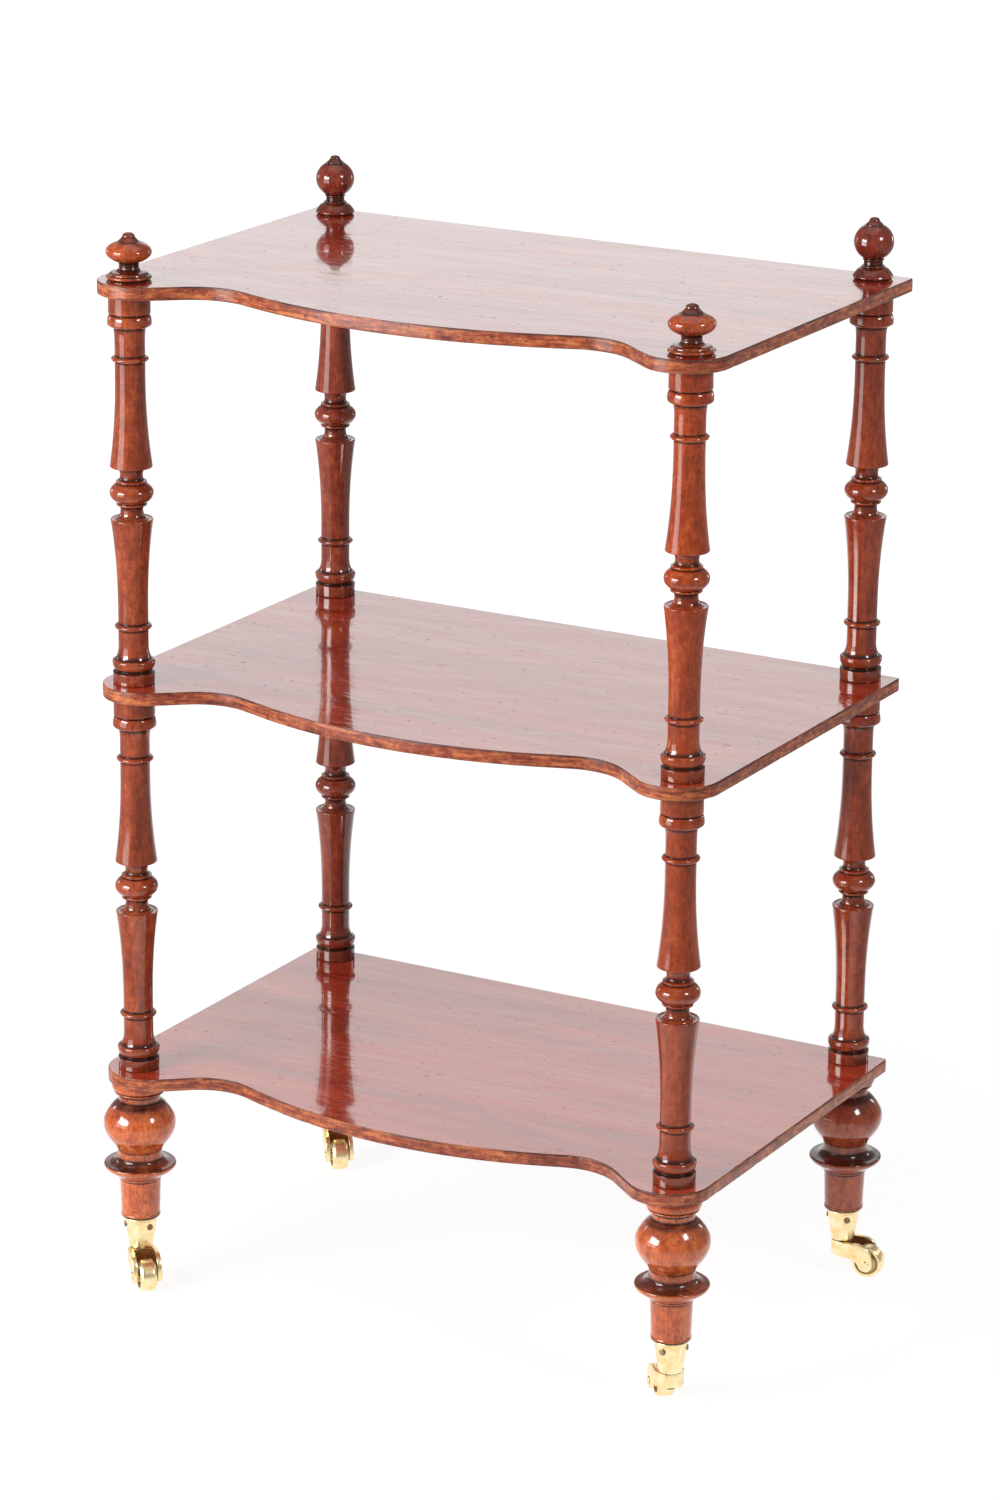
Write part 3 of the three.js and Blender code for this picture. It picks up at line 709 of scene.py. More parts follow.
def cast_brass(name, deep, pale, tarnished, patina_and_shade_colour):
    """Polished cast brass: satin bright, with soft hollows, small scratches, and brown patina and painted
    shade in the recesses.
    """
    f = Finish(name, Metallic=1.0)
    broad = f.noise(120.0, 3.0, 0.6)
    fine = f.noise(900.0, 2.0, 0.6)
    tarnish = f.between(f.noise(300.0, 3.0, 0.7), 0.6, 0.72)
    # Patina and painted shade: inside the cup, in the fork's slot, in the wheel's dish and in tight hollows
    patina_and_shade = (f.attribute("soil_and_shade") + f.between(f.attribute("hollow"), 0.08, 0.45) * 0.85).clamped()
    colour = f.ramp(broad * 0.7 + fine * 0.3, (0.37, deep), (0.6, pale))
    colour = f.mixed(tarnish * 0.35, colour, tarnished)
    colour = f.mixed(patina_and_shade * f.between(fine, 0.2, 0.6, 0.75, 1.0), colour, patina_and_shade_colour)
    rough = 0.27 + broad * 0.1 + tarnish * 0.15 + patina_and_shade * 0.2
    height = broad * 1.0 + fine * 0.2
    return f.feed(Base_Color=colour, Roughness=rough, Normal=f.bumped(height, 0.25, 0.2 * MM))


def dark_steel(name, dull, bright):
    """Old steel screws and pins: brown-grey, worn bright in places."""
    f = Finish(name, Metallic=1.0)
    mottle = f.noise(700.0, 3.0, 0.65)
    colour = f.ramp(mottle, (0.35, dull), (0.62, bright))
    return f.feed(Base_Color=colour, Roughness=0.3 + mottle * 0.3, Normal=f.bumped(mottle, 0.4, 0.15 * MM))


# Shelves

def front_edge(half_width, front):
    """The front edge from the right side to the middle, in millimetres, walked as straights and arcs.

    Round the corner, straight in, round the hollow, straight out, and a wide bow to the middle. An arc's
    points are its centre plus its radius along the direction square to the way it is walked.
    """
    points = []
    x, y, heading = half_width, front + CORNER_RADIUS, -math.pi / 2

    def arc(radius, turn):
        """The next arc, by a signed turn from the way the edge is heading."""
        nonlocal x, y, heading
        out = math.copysign(radius, turn)
        centre = np.array([x - out * math.sin(heading), y + out * math.cos(heading)])
        at = heading + turn * np.linspace(0.0, 1.0, max(int(radius * abs(turn) / ARC_STEP), 12))
        points.append(centre + out * np.column_stack([np.sin(at), -np.cos(at)]))
        x, y, heading = *points[-1][-1], heading + turn

    corner, bow = math.radians(CORNER_SLOPE), math.radians(BOW_SLOPE)
    arc(CORNER_RADIUS, -(math.pi / 2 + corner))
    x, y = x + CORNER_FLAT * math.cos(heading), y + CORNER_FLAT * math.sin(heading)
    arc(HOLLOW_RADIUS, corner + bow)
    x, y = x + BOW_FLAT * math.cos(heading), y + BOW_FLAT * math.sin(heading)
    arc(x / math.sin(bow), -bow)
    return np.concatenate(points)


def shelf_outline(low, high):
    """The shelf's closed outline in millimetres, anticlockwise seen from above, in even steps."""
    half_width, front, back = high.x / MM, low.y / MM, high.y / MM
    right = front_edge(half_width, front)
    left = right[-2::-1] * (-1.0, 1.0)
    t = np.linspace(0.0, math.pi / 2, 7)
    inner = np.array([half_width - REAR_CORNER_RADIUS, back - REAR_CORNER_RADIUS])
    rear_right = inner + REAR_CORNER_RADIUS * np.column_stack([np.cos(t), np.sin(t)])
    rear_left = (rear_right * (-1.0, 1.0))[::-1]
    closed = np.concatenate([right[::-1], rear_right, rear_left, left[::-1], right[-1:]])
    return spaced(closed, OUTLINE_STEP)[:-1]


def outward(outline):
    """The unit direction square to a closed outline, away from the inside."""
    along = np.roll(outline, -1, axis=0) - np.roll(outline, 1, axis=0)
    normal = np.column_stack([along[:, 1], -along[:, 0]])
    return normal / np.linalg.norm(normal, axis=1, keepdims=True)


def nicks(count, deepest, around, seed):
    """Small dents along a closed edge: bells of random place, width and depth, the deepest at each point."""
    chance = np.random.default_rng(seed)
    at = np.arange(around)
    gap = np.abs(at[:, None] - chance.uniform(0, around, count))
    gap = np.minimum(gap, around - gap)
    width = chance.uniform(*NICK_WIDTHS, count)
    depth = deepest * chance.uniform(*NICK_DEPTH_SHARES, count) ** 2
    return (depth * np.exp(-0.5 * (gap / width) ** 2)).max(axis=1)


def shelf_piece(node, top_material, edge_material, seed):
    """A shelf as a section carried round its outline, round the lower arris, up the edge and round the upper.

    A point of the section is the outline moved inwards by its inset. One flat face closes each end.
    """
    low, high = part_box(node)
    outline = shelf_outline(low, high)
    normal = outward(outline)
    around = len(outline)
    upper = ARRIS_RADIUS * ARRIS_LEAST_SHARE + nicks(*UPPER_NICKS, around, seed)
    lower = ARRIS_RADIUS * ARRIS_LEAST_SHARE + nicks(*LOWER_NICKS, around, seed + 1)
    bottom, top = low.z / MM, high.z / MM
    sections, wear, arrises = [], [], []

    def arris(radius, angle, height, side, wax_and_shade):
        """A ring of a rounded arris, inset by its radius times one minus the cosine of the angle.

        Its distance from the flat face is the radius times one minus the sine.
        """
        inset = radius * (1.0 - math.cos(angle))
        rise = radius * (1.0 - math.sin(angle))
        sections.append(np.column_stack([outline - normal * inset[:, None], height + side * rise]))
        wear.append(np.clip((radius - ARRIS_RADIUS) / WORN_DEPTH, 0.0, 1.0))
        arrises.append(np.full(around, wax_and_shade))

    for angle in np.linspace(math.pi / 2, 0.0, ARRIS_STEPS):
        arris(lower, angle, bottom, 1.0, LOWER_ARRIS_WAX_AND_SHADE)
    for share in EDGE_SHARES:
        height = np.full(around, bottom + (top - bottom) * share)
        sections.append(np.column_stack([outline + normal * EDGE_SWELL, height]))
        wear.append(np.zeros(around))
        arrises.append(np.zeros(around))
    for angle in np.linspace(0.0, math.pi / 2, ARRIS_STEPS):
        arris(upper, angle, top, -1.0, UPPER_ARRIS_WAX_AND_SHADE)
    mesh = ring_mesh(node + "_board", np.array(sections))
    store(mesh, "wear", np.concatenate(wear))
    store(mesh, "arris", np.concatenate(arrises))
    place_piece(node, mesh, "stand", "shelf_wood", top_material, edge_material)
    edge = np.arange(len(mesh.polygons)) < around * (len(sections) - 1)
    mesh.polygons.foreach_set("material_index", edge.astype(np.int32))
    mesh.polygons.foreach_set("use_smooth", edge)


# Posts

def post_arm(end, reach):
    """A post from its ball's middle out to the shelf: fillet, neck, flare, shaft, bead, cove, cap, band."""
    rim = BALL_HALF + FILLET_WIDTH + NECK_LENGTH
    cap_at = reach - end["band"] - end["notch"] - end["cap"]
    t = Turning(BALL_RADIUS)
    t.globe(FILLET_RADIUS - 2 * EASING, BALL_HALF - EASING).line(FILLET_RADIUS, EASING)
    t.line(FILLET_RADIUS, FILLET_WIDTH).line(FILLET_RADIUS - FILLET_UNDERCUT, EASING / 2)
    t.level(NECK_RADIUS, NECK_SHOULDER)
    t.upright(FLARE_FACE_RADIUS, NECK_LENGTH - NECK_SHOULDER - EASING * 1.5)
    for inside, past in FLARE_FACE:
        t.line_to(FLARE_RADIUS - inside, rim + past)
    t.taper(SHAFT_RADIUS, FLARE_LENGTH, FLARE_POWER)
    t.line_to(SHAFT_RADIUS, reach - end["bead"] - BEAD_WIDTH / 2)
    t.bead(BEAD_RADIUS - SHAFT_RADIUS, BEAD_WIDTH)
    t.line_to(SHAFT_RADIUS, cap_at - CAP_COVE_LENGTH)
    t.flare(end["cove_radius"], CAP_COVE_LENGTH, CAP_COVE_POWER)
    t.line(end["cove_radius"] + 0.5, EASING)
    t.level(end["cap_radius"], end["cap"] * CAP_WIDEST_SHARE - EASING)
    t.upright(end["notch_radius"], end["cap"] * (1.0 - CAP_WIDEST_SHARE))
    t.line(end["notch_radius"] - 0.3, end["notch"] * 0.5)
    t.line(END_RADIUS - 0.2, end["notch"] * 0.4).line(END_RADIUS, end["notch"] * 0.1)
    t.line_to(END_RADIUS - 0.2, reach - 1.0).line_to(END_RADIUS - 0.7, reach)
    return t.outline()


def post_outline(length):
    """A post from the shelf below it up: two arms that meet at its ball's middle, closed at both ends."""
    below = length / 2 - BALL_DROP
    lower = post_arm(LOWER_END, below)[:0:-1] * (1.0, -1.0)
    upper = post_arm(UPPER_END, length - below)
    return np.concatenate([[[0.0, -below]], lower, upper, [[0.0, length - below]]]) + (0.0, below)


def end_wax_and_shade(end):
    """How dark old polish and painted shade are by distance from the shelf: at the shelf, in the notch and
    past the cap's edge.
    """
    band = end["band"]
    cap_starts = band + end["notch"]
    cap_ends = cap_starts + end["cap"]
    dark = [
        (0.0, 0.9), (1.2, 0.5), (band - 3.0, 0.38), (band - 0.6, 0.2), (band + 0.2, 1.0),
        (cap_starts - 0.2, 1.0), (cap_starts + 0.9, 0.2), (cap_ends - 1.0, 0.1), (cap_ends - 0.1, 1.0),
        (cap_ends + 1.6, 0.75), (cap_ends + 4.0, 0.1), (cap_ends + 6.0, 0.0),
    ]
    return np.array(dark) * (1.0, end["wax_and_shade_share"])


def post_piece(node, below, above, material):
    """A post between the shelf below it and the shelf above it."""
    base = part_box(below)[1].z
    length = (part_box(above)[0].z - base) / MM
    upper = (end_wax_and_shade(UPPER_END) * (-1.0, 1.0) + (length, 0.0))[::-1]
    darkenings = np.concatenate([end_wax_and_shade(LOWER_END), upper])
    mesh = turned_mesh(node + "_turning", post_outline(length), upright_at(node, base), darkenings=darkenings)
    place_piece(node, mesh, "stand", "post_wood", material)


# Finials

def front_finial():
    """A flattened bun on a short waist: moulded foot, waist, bun and a small pointed cap."""
    t = Turning(0.0)
    t.line(19.0).line(19.2, 1.4).level(20.6, 1.2, 8).upright(18.8, 1.9, 10)
    t.line(17.8, 0.1).upright(15.6, 2.5, 8).line(14.7, 0.1)
    t.level(9.2, 3.5).line(8.8, 0.8).upright(9.8, 4.1, 8).line(10.2, 0.2)
    t.globe(20.6, 9.2).globe(10.4, 8.8)
    t.line(9.7, 0.1).line(9.4, 0.4).taper(5.7, 4.1, 1.3).upright(0.0, 3.5)
    return t.outline()


def rear_finial():
    """A near ball on a slim ringed waist: domed foot, rings, ball and the same pointed cap."""
    t = Turning(0.0)
    t.line(16.8).line(17.0, 1.1).level(18.3, 1.5, 8)
    t.through((17.8, 1.2), (16.9, 1.5), (15.5, 1.7), (13.8, 1.8), (11.9, 1.2))
    t.line(10.6, 0.3).line(10.2, 0.2).bead(0.6, 1.3).line(9.0, 0.3)
    t.level(8.6, 0.8, 6).line(8.6, 3.5).line(9.1, 0.2).bead(0.7, 1.1).line(9.6, 0.3).line(9.8, 0.6)
    t.globe(18.1, 14.0, 24).globe(9.2, 14.6, 24)
    t.line(8.2, 0.1).line(8.2, 0.8).taper(4.7, 3.6, 1.4).upright(0.0, 2.7)
    return t.outline()


def finial_piece(corner, outline, wax_and_shade_shares, material):
    """A finial stretched to its node's height above the top shelf."""
    node = "finial_" + corner
    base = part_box("top_shelf")[1].z
    height = (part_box(node)[1].z - base) / MM
    fitted = outline * (1.0, height / outline[-1, 1])
    darkenings = np.array(wax_and_shade_shares) * (height, 1.0)
    place = upright_at(node, base)
    mesh = turned_mesh(node + "_turning", fitted, place, darkenings=darkenings, longest=1.2, sharpest=6.0)
    place_piece(node, mesh, "stand", "post_wood", material)


# Feet

def foot_outline():
    """A foot from its peg up: lip, leg and collar, flange, waist and bulb, neck and ring, then a torus."""
    t = Turning(0.0, -PEG_LENGTH)
    t.line(8.6).line(12.6, PEG_LENGTH)
    t.line(17.7).line(18.4, 0.7).line(18.5, 2.2).line(18.0, 0.5)
    t.line(19.2, 33.9).line(18.7, 0.3).line(19.9, 0.2).level(20.7, 1.3, 8).upright(20.4, 1.2, 8)
    t.through((21.6, 0.4), (24.8, 1.9), (29.0, 3.3), (32.2, 2.4), (33.5, 1.9))
    t.level(33.8, 1.1, 8).upright(32.4, 1.7, 8).line(30.6, 0.1)
    t.level(21.0, 7.2).line(20.8, 3.4)
    t.through((21.0, 2.6), (22.2, 2.4), (24.9, 3.9), (28.6, 5.0), (31.4, 5.0), (33.1, 4.8),
              (33.6, 4.3), (33.1, 5.2), (31.1, 4.5), (27.9, 5.0), (24.2, 4.3), (20.2, 3.1))
    t.line(19.5, 0.3).line(19.6, 7.3).line(21.6, 0.4).bead(1.9, 2.4).line(22.5, 0.3)
    t.level(25.4, 4.2).upright(23.2, 5.6).line(0.0)
    return t.outline()


def foot_piece(corner, material):
    """A foot stretched to fit between its cup and the bottom shelf, with its own share of the darkening: old
    polish, grime and painted shade.
    """
    node = "foot_" + corner
    cup_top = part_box("castor_cup_" + corner)[1].z
    outline = foot_outline()
    height = (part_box("bottom_shelf")[0].z - cup_top) / MM
    above = outline[:, 1] > 0
    outline[above, 1] *= height / outline[-1, 1]
    darkenings = np.array(FOOT_WAX_GRIME_AND_SHADE) * (1.0, FOOT_WAX_GRIME_AND_SHADE_SCALE[corner])
    place = upright_at(node, cup_top)
    mesh = turned_mesh(node + "_turning", outline, place, FOOT_AROUND, darkenings, longest=1.6, sharpest=7.0)
    place_piece(node, mesh, "stand", "foot_wood", material)


# Castor cups and their screws

def cup_piece(corner, material):
    """A tapered cup: up the outside past a rim bead, over the lip, down the inside and out at its bore."""
    node = "castor_cup_" + corner
    low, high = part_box(node)
    tall = (high.z - low.z) / MM
    t = Turning(CUP_BORE)
    t.line(9.8).level(11.1, 1.5, 8).line(11.3, 1.0).line_to(15.0, tall - CUP_RIM_HEIGHT)
    t.line(15.5, 0.5).line(15.6, 1.4).line(15.3, 0.5).line(15.4, 0.2)
    t.upright(14.6, 0.9, 6).upright(CUP_MOUTH_RADIUS, -0.5, 6)
    t.line_to(CUP_FLOOR_RADIUS, CUP_FLOOR).line(CUP_BORE).line_to(CUP_BORE, 0.0)

    def inside(radius, height):
        """Painted shade under the base, in the bore, and on the inner floor and wall, where the outline
        descends.
        """
        going_down = (height > CUP_FLOOR + 2 * NEARLY) & (np.gradient(height) < 0)
        return (radius < CUP_FLOOR_RADIUS + NEARLY) | ((radius < CUP_MOUTH_RADIUS + NEARLY) & going_down)

    place = upright_at(node, low.z)
    mesh = looped_mesh(node + "_casting", t.outline(), place, CUP_AROUND, inside, ease=0.15, longest=1.5)
    place_piece(node, mesh, "stand", "brass", material)


def screw_mesh(name):
    """A domed head with a straight slot, on a plain shank.

    The dome is a quarter of an ellipse, and the slot presses it in by a smooth step of the distance from
    the slot's middle.
    """
    t = Turning(0.0, -SCREW_DEPTH)
    t.line(SCREW_SHANK_RADIUS).line(SCREW_SHANK_RADIUS, SCREW_DEPTH).line(2.9).line(3.1, 0.4).line(3.0, 0.2)
    head = finished_outline(t.outline(), ease=0.1, longest=0.6)[0]
    inwards = np.linspace(DOME_RADIUS - 0.1, 0.05, 26)
    dome = SCREW_HEAD_EDGE + DOME_HEIGHT * np.sqrt(1.0 - (inwards / DOME_RADIUS) ** 2)
    outline = np.concatenate([head, np.column_stack([inwards, dome])])
    rings = carried_round(outline[outline[:, 0] > POLE_RADIUS], PIN_AROUND)
    slot = 1.0 / (1.0 + np.exp((np.abs(rings[..., 1]) - SLOT_HALF_WIDTH) / SLOT_SOFTNESS))
    rings[..., 2] -= np.where(rings[..., 2] > SCREW_HEAD_EDGE + 0.01, SLOT_DEPTH * slot, 0.0)
    top = SCREW_HEAD_EDGE + DOME_HEIGHT - SLOT_DEPTH
    return ring_mesh(name, rings, (0.0, 0.0, -SCREW_DEPTH), (0.0, 0.0, top))


def screw_pieces(corner, material):
    """Each screw's dome lies square to the cup's wall, where its node is."""
    centre = upright_at("castor_cup_" + corner, 0.0).translation
    for number in range(1, 4):
        node = f"cup_screw_{number}_{corner}"
        low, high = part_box(node)
        spot = (low + high) / 2
        out = Vector((spot.x - centre.x, spot.y - centre.y, 0.0)).normalized()
        head = Vector((centre.x, centre.y, spot.z)) + out * SCREW_HEAD_OUT * MM
        turn = Matrix.Rotation(math.radians(SLOT_TURN + SLOT_TURN_MORE * (number - 1)), 4, "Z")
        mesh = screw_mesh(node + "_head")
        mesh.transform(Matrix.Translation(head) @ out.to_track_quat("Z", "X").to_matrix().to_4x4() @ turn)
        place_piece(node, mesh, "stand", "steel", material)


# Castor forks, axles, wheels and swivel pins

def castor_place(corner):
    """The matrix that takes a castor drawn along +X from its swivel to its place and direction."""
    joints = {joint["name"]: Vector(joint["pos_m"]) for joint in frame["joints"]}
    pivot = joints["swivel_" + corner]
    away = joints["roll_" + corner] - pivot
    return Matrix.Translation(pivot) @ Matrix.Rotation(math.atan2(away.y, away.x), 4, "Z")


def axle_place(corner):
    """The matrix that takes turned work from the upright axis to the castor's axle."""
    axle = Matrix.Translation((TRAIL * MM, 0.0, -AXLE_DROP * MM))
    return castor_place(corner) @ axle @ Matrix.Rotation(math.pi / 2, 4, "X")


def prism(name, outline, low, high):
    """A flat outline in millimetres carried straight up between two heights, its two ends closed."""
    mesh = bpy.data.meshes.new(name)
    count = len(outline)
    points = [(x, y, z) for z in (low, high) for x, y in outline]
    sides = [(i, (i + 1) % count, count + (i + 1) % count, count + i) for i in range(count)]
    ends = [tuple(range(count))[::-1], tuple(range(count, 2 * count))]
    mesh.from_pydata(points, [], sides + ends)
    mesh.update()
    return mesh


def fork_side():
    """The fork seen from the side, anticlockwise: chamfered boss, arm bent down to a round eye and back.

    A bend is a quadratic curve from its start to its end, drawn towards a point between them.
    """
    def bent(start, towards, end):
        """One bend, without its first point."""
        t = np.linspace(0.0, 1.0, 12)[1:, None]
        return (1 - t) ** 2 * np.array(start) + 2 * t * (1 - t) * np.array(towards) + t ** 2 * np.array(end)

    turn = np.linspace(math.pi + math.asin(EYE_START_SINE), 2 * math.pi, 20)
    eye = np.column_stack([TRAIL + EYE_RADIUS * np.cos(turn), -AXLE_DROP + EYE_RADIUS * np.sin(turn)])
    under_nose = (NOSE_CHAMFER - NOSE_LENGTH, -BOSS_HEIGHT)
    under_boss = (BOSS_END, -BOSS_HEIGHT)
    return np.concatenate([
        [(-NOSE_LENGTH, 0.0), (-NOSE_LENGTH, NOSE_CHAMFER - BOSS_HEIGHT), under_nose, under_boss],
        bent(under_boss, (TRAIL - EYE_RADIUS, -BOSS_HEIGHT - EYE_RADIUS / 3), eye[0]),
        eye[1:],
        bent(eye[-1], (TRAIL + EYE_RADIUS, 0.0), (SHOULDER_LENGTH, 0.0)),
    ])


def carved(mesh, cutters):
    """The mesh after each cutter's operation on it, with its sharper edges eased."""
    body = bpy.data.objects.new("carving", mesh)
    bpy.context.collection.objects.link(body)
    helpers = []
    for cutter, operation in cutters:
        helper = bpy.data.objects.new("cutter", cutter)
        bpy.context.collection.objects.link(helper)
        helpers.append(helper)
        modifier = body.modifiers.new("cut", "BOOLEAN")
        modifier.operation = operation
        modifier.object = helper
        modifier.solver = "EXACT"
    bevel = body.modifiers.new("eased", "BEVEL")
    bevel.width = FORK_EASING
    bevel.segments = 3
    bevel.limit_method = "ANGLE"
    bevel.angle_limit = math.radians(EASED_ANGLE)
    result = bpy.data.meshes.new_from_object(body.evaluated_get(bpy.context.evaluated_depsgraph_get()))
    for helper in [body, *helpers]:
        spent = helper.data
        bpy.data.objects.remove(helper)
        bpy.data.meshes.remove(spent)
    return result


def fork_mesh():
    """The fork along +X in millimetres: its side view carried across, kept within its plan, then slotted."""
    side = prism("fork_side", fork_side(), -FORK_HALF - OVERRUN, FORK_HALF + OVERRUN)
    side.transform(Matrix.Rotation(math.pi / 2, 4, "X"))
    far = TRAIL + EYE_RADIUS + 2 * OVERRUN
    half_plan = [(-NOSE_LENGTH, -NOSE_HALF), (NOSE_TAPER_END, -FORK_HALF), (far, -FORK_HALF)]
    mirrored = [(x, -y) for x, y in half_plan[::-1]]
    plan = prism("fork_plan", half_plan + mirrored, -CUT_DEPTH, 5 * OVERRUN)
    past = far + OVERRUN
    opening = [(BOSS_END, -SLOT_HALF), (past, -SLOT_HALF), (past, SLOT_HALF), (BOSS_END, SLOT_HALF)]
    slot = prism("fork_slot", opening, -CUT_DEPTH - 5 * OVERRUN, 6 * OVERRUN)
    return carved(side, [(plan, "INTERSECT"), (slot, "DIFFERENCE")])


def fork_piece(corner, drawn, material):
    """The fork on its own body, with painted shade inside its slot."""
    node = "castor_fork_" + corner
    mesh = drawn.copy()
    mesh.name = node + "_casting"
    points = np.empty(3 * len(mesh.vertices))
    mesh.vertices.foreach_get("co", points)
    x, y, z = points.reshape(-1, 3).T
    # Painted shade inside the slot, between the cheeks and behind the boss
    in_slot = (np.abs(y) < SLOT_HALF + NEARLY) & (x > BOSS_END - NEARLY) & (z < -3 * NEARLY)
    store(mesh, "soil_and_shade", in_slot.astype(float))
    store(mesh, "hollow", np.zeros(len(x)))
    mesh.transform(castor_place(corner) @ Matrix.Scale(MM, 4))
    place_piece(node, mesh, "fork_" + corner, "brass", material)
    mesh.set_sharp_from_angle(angle=math.radians(SHARP_ANGLE))


def axle_piece(corner, material):
    """The axle pin from end to end, with a low rivet head outside each cheek."""
    node = "axle_pin_" + corner
    t = Turning(0.0, -FORK_HALF - RIVET_HEIGHT)
    t.line(2.6).level(RIVET_RADIUS, 0.7, 6).line(RIVET_RADIUS, 0.5)
    t.line(AXLE_RADIUS, 0.1).line(AXLE_RADIUS, 2 * FORK_HALF)
    t.line(RIVET_RADIUS, 0.1).line(RIVET_RADIUS, 0.5).upright(2.6, 0.7, 6).line(0.0)
    place = axle_place(corner)
    mesh = turned_mesh(node + "_rivet", t.outline(), place, AXLE_AROUND, ease=0.12, longest=1.0)
    place_piece(node, mesh, "fork_" + corner, "brass", material)


def wheel_piece(corner, material):
    """The wheel: hub, dish, rim and crowned tread out to its middle, then the same mirrored."""
    node = "castor_wheel_" + corner
    t = Turning(WHEEL_BORE, 1.0 - WHEEL_HALF)
    t.line(5.2).level(5.8, 0.8, 6).line(6.2, 1.0).level(7.4, 0.5, 6).line(9.6)
    t.upright(10.6, -0.6, 6).line(10.9, -1.4).line(11.3, -0.3).line(12.6)
    t.level(13.4, 0.5, 6).line(14.2, 1.3).level(WHEEL_RADIUS, 2.0, 8)
    near = t.outline()
    near[:, 1] = np.maximum(near[:, 1], -WHEEL_HALF)
    section = np.concatenate([near, near[::-1] * (1.0, -1.0), near[:1]])

    def dished(radius, height):
        """Patina and painted shade where the wheel is dished, by radius alone."""
        return np.interp(radius, *zip(*WHEEL_PATINA_AND_SHADE))

    place = axle_place(corner)
    mesh = looped_mesh(node + "_casting", section, place, WHEEL_AROUND, dished, ease=0.2, longest=1.2)
    place_piece(node, mesh, "wheel_" + corner, "brass", material)


def swivel_pin_piece(corner, material):
    """The swivel pin from the rivet under the fork's boss up to its head inside the cup's base."""
    node = "swivel_pin_" + corner
    t = Turning(0.0, -BOSS_HEIGHT - 2.2)
    t.line(3.4).level(SWIVEL_HEAD_RADIUS, 1.4, 8).line(SWIVEL_HEAD_RADIUS, 0.5)
    t.line(SWIVEL_RADIUS, 0.1).line_to(SWIVEL_RADIUS, 3.6)
    t.line(SWIVEL_HEAD_RADIUS).line(SWIVEL_HEAD_RADIUS, 1.9).line(0.0)
    place = Matrix.Translation(castor_place(corner).translation)
    mesh = turned_mesh(node + "_rivet", t.outline(), place, PIN_AROUND, ease=0.12, longest=1.0)
    place_piece(node, mesh, "stand", "steel", material)


# The object's woods and metals

post_woods = {
    "front_left": turned_mahogany("post_mahogany_front_left", (0.11, 0.017, 0.007), (0.3, 0.046, 0.012),
                                  (0.52, 0.12, 0.036), (3.0, 1.0, 0.0), 1.2, 0.12),
    "front_right": turned_mahogany("post_mahogany_front_right", (0.14, 0.018, 0.005), (0.36, 0.046, 0.006),
                                   (0.6, 0.13, 0.028), (7.0, 4.0, 2.0), 1.2, 0.42),
    "rear_right": turned_mahogany("post_mahogany_rear_right", (0.1, 0.014, 0.006), (0.27, 0.04, 0.012),
                                  (0.46, 0.095, 0.03), (11.0, 2.0, 5.0), 1.2, 0.12),
    "rear_left": turned_mahogany("post_mahogany_rear_left", (0.09, 0.013, 0.007), (0.27, 0.046, 0.02),
                                 (0.48, 0.12, 0.05), (5.0, 9.0, 1.0), 1.2, 0.4),
}
# The rear finial and foot woods are darker copies of the front ones: painted shade at the back of the stand
finial_woods = {
    "front": turned_mahogany("finial_mahogany_front", (0.14, 0.018, 0.006), (0.42, 0.066, 0.014),
                             (0.75, 0.21, 0.05), (2.0, 7.0, 3.0)),
    "rear": turned_mahogany("finial_mahogany_rear", (0.07, 0.01, 0.006), (0.22, 0.031, 0.014),
                            (0.42, 0.08, 0.03), (9.0, 3.0, 4.0)),
}
foot_woods = {
    "front": turned_mahogany("foot_mahogany_front", (0.2, 0.025, 0.008), (0.55, 0.11, 0.028),
                             (0.8, 0.24, 0.07), (1.0, 5.0, 8.0), 1.7),
    "rear": turned_mahogany("foot_mahogany_rear", (0.11, 0.016, 0.008), (0.3, 0.05, 0.017),
                            (0.5, 0.12, 0.04), (6.0, 6.0, 2.0), 1.1),
}
top_wood = shelf_mahogany("shelf_mahogany", (0.2, 0.013, 0.005), (0.39, 0.034, 0.012),
                          (0.58, 0.09, 0.034), 0.06)
edge_wood = edge_mahogany("edge_mahogany", (0.09, 0.013, 0.006), (0.27, 0.05, 0.02),
                          (0.58, 0.17, 0.055), (0.55, 0.2, 0.09))
brass = cast_brass("polished_brass", (1.0, 0.69, 0.31), (1.0, 0.93, 0.59), (0.6, 0.3, 0.11),
                   (0.27, 0.1, 0.035))
steel = dark_steel("old_steel", (0.13, 0.075, 0.04), (0.46, 0.33, 0.2))


# The object

for shelf, seed in (("bottom_shelf", 3), ("middle_shelf", 13), ("top_shelf", 23)):
    shelf_piece(shelf, top_wood, edge_wood, seed)
finials = {
    "front": (front_finial(), FRONT_FINIAL_WAX_AND_SHADE_SHARES, finial_woods["front"]),
    "rear": (rear_finial(), REAR_FINIAL_WAX_AND_SHADE_SHARES, finial_woods["rear"]),
}
drawn_fork = fork_mesh()
for corner in CORNERS:
    row = corner.split("_")[0]
    post_piece("lower_post_" + corner, "bottom_shelf", "middle_shelf", post_woods[corner])
    post_piece("upper_post_" + corner, "middle_shelf", "top_shelf", post_woods[corner])
    finial_piece(corner, *finials[row])
    foot_piece(corner, foot_woods[row])
    cup_piece(corner, brass)
    screw_pieces(corner, steel)
    fork_piece(corner, drawn_fork, brass)
    axle_piece(corner, brass)
    wheel_piece(corner, brass)
    swivel_pin_piece(corner, steel)
bpy.data.meshes.remove(drawn_fork)


# Studio

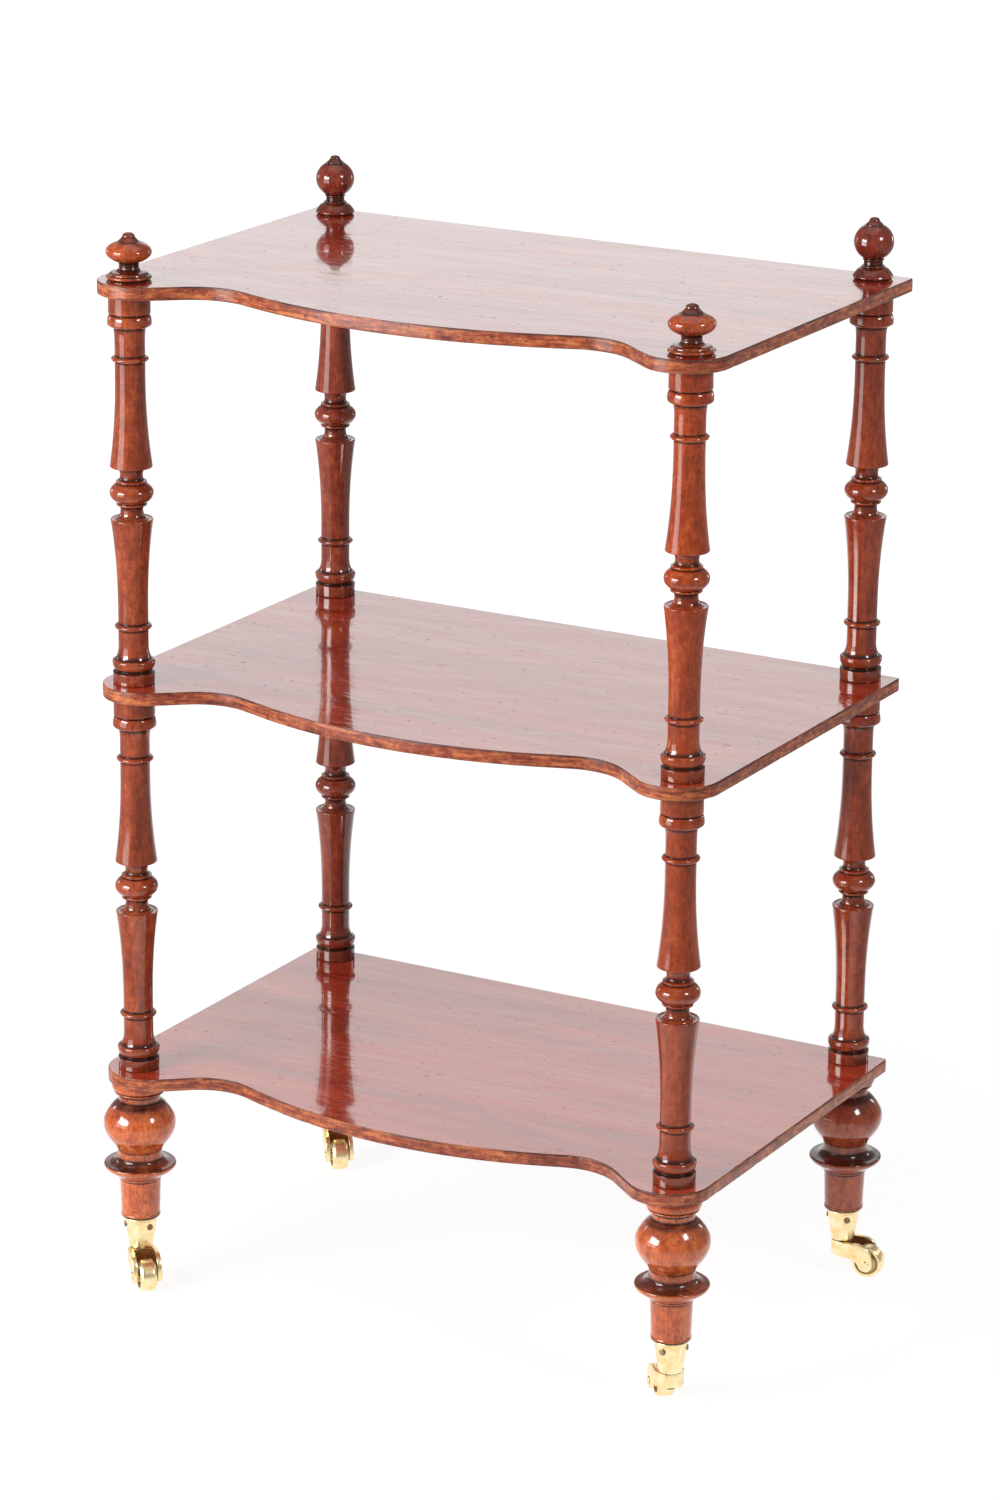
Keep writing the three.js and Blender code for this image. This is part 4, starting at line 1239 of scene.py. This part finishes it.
def studio_sheet(name, corners):
    """A flat sheet, turned to the camera, that takes a faint shadow: a white lane, and dim beyond it.

    How white it is depends only on the place: full where the distance aside is a small share of the distance
    from the camera's foot, and falling smoothly to the room's level further out and in front of the object.
    """
    mesh = bpy.data.meshes.new(name)
    turned_to_camera = Matrix.Rotation(math.radians(CAMERA_AZIMUTH), 4, "Z")
    mesh.from_pydata([turned_to_camera @ Vector(corner) for corner in corners], [], [(0, 1, 2, 3)])
    sheet = bpy.data.objects.new(name, mesh)
    bpy.context.collection.objects.link(sheet)
    f = Finish(name + "_paper")
    turned_back = {"Vector": f.place, "Rotation": (0.0, 0.0, -math.radians(CAMERA_AZIMUTH))}
    turned = f.node("ShaderNodeMapping", {}, turned_back)
    aside = f.part_of(turned, 0)
    behind = f.part_of(turned, 1)
    share = aside.most(aside * -1.0) / (behind + CAMERA_AWAY).most(1.0)
    lane = f.between(share, *LANE_SIDE_SHARES, 1.0, 0.0) * f.between(behind, *LANE_FRONT)
    strength = FAR_GLOW + lane * (f.between(behind, *LANE_BACK, NEAR_GLOW, BACK_GLOW) - FAR_GLOW)
    white = f.node("ShaderNodeEmission", {}, {"Color": (1.0, 1.0, 1.0, 1.0), "Strength": strength})
    matt = f.node("ShaderNodeBsdfDiffuse", {}, {"Color": (SHEET_SHADE, SHEET_SHADE, SHEET_SHADE, 1.0)})
    both = f.node("ShaderNodeAddShader", {}, {0: white, 1: matt})
    f.tree.links.new(both.socket, f.tree.nodes["Material Output"].inputs["Surface"])
    mesh.materials.append(f.material)


def studio_world():
    """A dim room, the same in every direction."""
    world = bpy.data.worlds.new("studio")
    bpy.context.scene.world = world
    world.use_nodes = True
    background = world.node_tree.nodes["Background"]
    background.inputs["Color"].default_value = (1.0, 1.0, 1.0, 1.0)
    background.inputs["Strength"].default_value = ROOM_LIGHT


def direction(azimuth, elevation):
    """The unit direction from the object towards an azimuth, counted from the front, and an elevation."""
    a, e = math.radians(azimuth), math.radians(elevation)
    return Vector((math.sin(a) * math.cos(e), -math.cos(a) * math.cos(e), math.sin(e)))


def softbox(name, azimuth, elevation, distance, width, height, glow):
    """A rectangular lamp aimed at the object; its energy is pi times its area times its glow."""
    lamp = bpy.data.lights.new(name, "AREA")
    lamp.shape = "RECTANGLE"
    lamp.size = width
    lamp.size_y = height
    lamp.energy = glow * math.pi * width * height
    away = direction(azimuth, elevation)
    holder = bpy.data.objects.new(name, lamp)
    holder.location = Vector((0.0, 0.0, AIM_HEIGHT)) + away * distance
    holder.rotation_euler = away.to_track_quat("Z", "Y").to_euler()
    bpy.context.collection.objects.link(holder)


def studio_camera():
    """The photograph's view: place, direction and lens, with the frame taken as 1000 by 1500."""
    azimuth, roll = math.radians(CAMERA_AZIMUTH), math.radians(CAMERA_ROLL)
    back = direction(CAMERA_AZIMUTH, CAMERA_ELEVATION)
    right = Vector((math.cos(azimuth), math.sin(azimuth), 0.0))
    up = back.cross(right)
    tilted_right = math.cos(roll) * right + math.sin(roll) * up
    tilted_up = -math.sin(roll) * right + math.cos(roll) * up
    data = bpy.data.cameras.new("camera")
    data.sensor_fit = "VERTICAL"
    data.sensor_height = SENSOR_HEIGHT
    data.lens = CAMERA_LENS
    camera = bpy.data.objects.new("camera", data)
    turn = Matrix((tilted_right, tilted_up, back)).transposed().to_4x4()
    camera.matrix_world = Matrix.Translation(CAMERA_PLACE) @ turn
    bpy.context.collection.objects.link(camera)
    bpy.context.scene.camera = camera


studio_camera()
studio_world()
backdrop_corners = [(-x * BACKDROP_HALF, BACKDROP_AWAY, max(z, 0) * BACKDROP_HEIGHT) for x, z in SQUARE]
studio_sheet("floor", [(x * FLOOR_REACH, y * FLOOR_REACH, 0.0) for x, y in SQUARE])
studio_sheet("backdrop", backdrop_corners)
for name, settings in SOFTBOXES.items():
    softbox(name, *settings)
bpy.context.scene.view_settings.view_transform = "Standard"
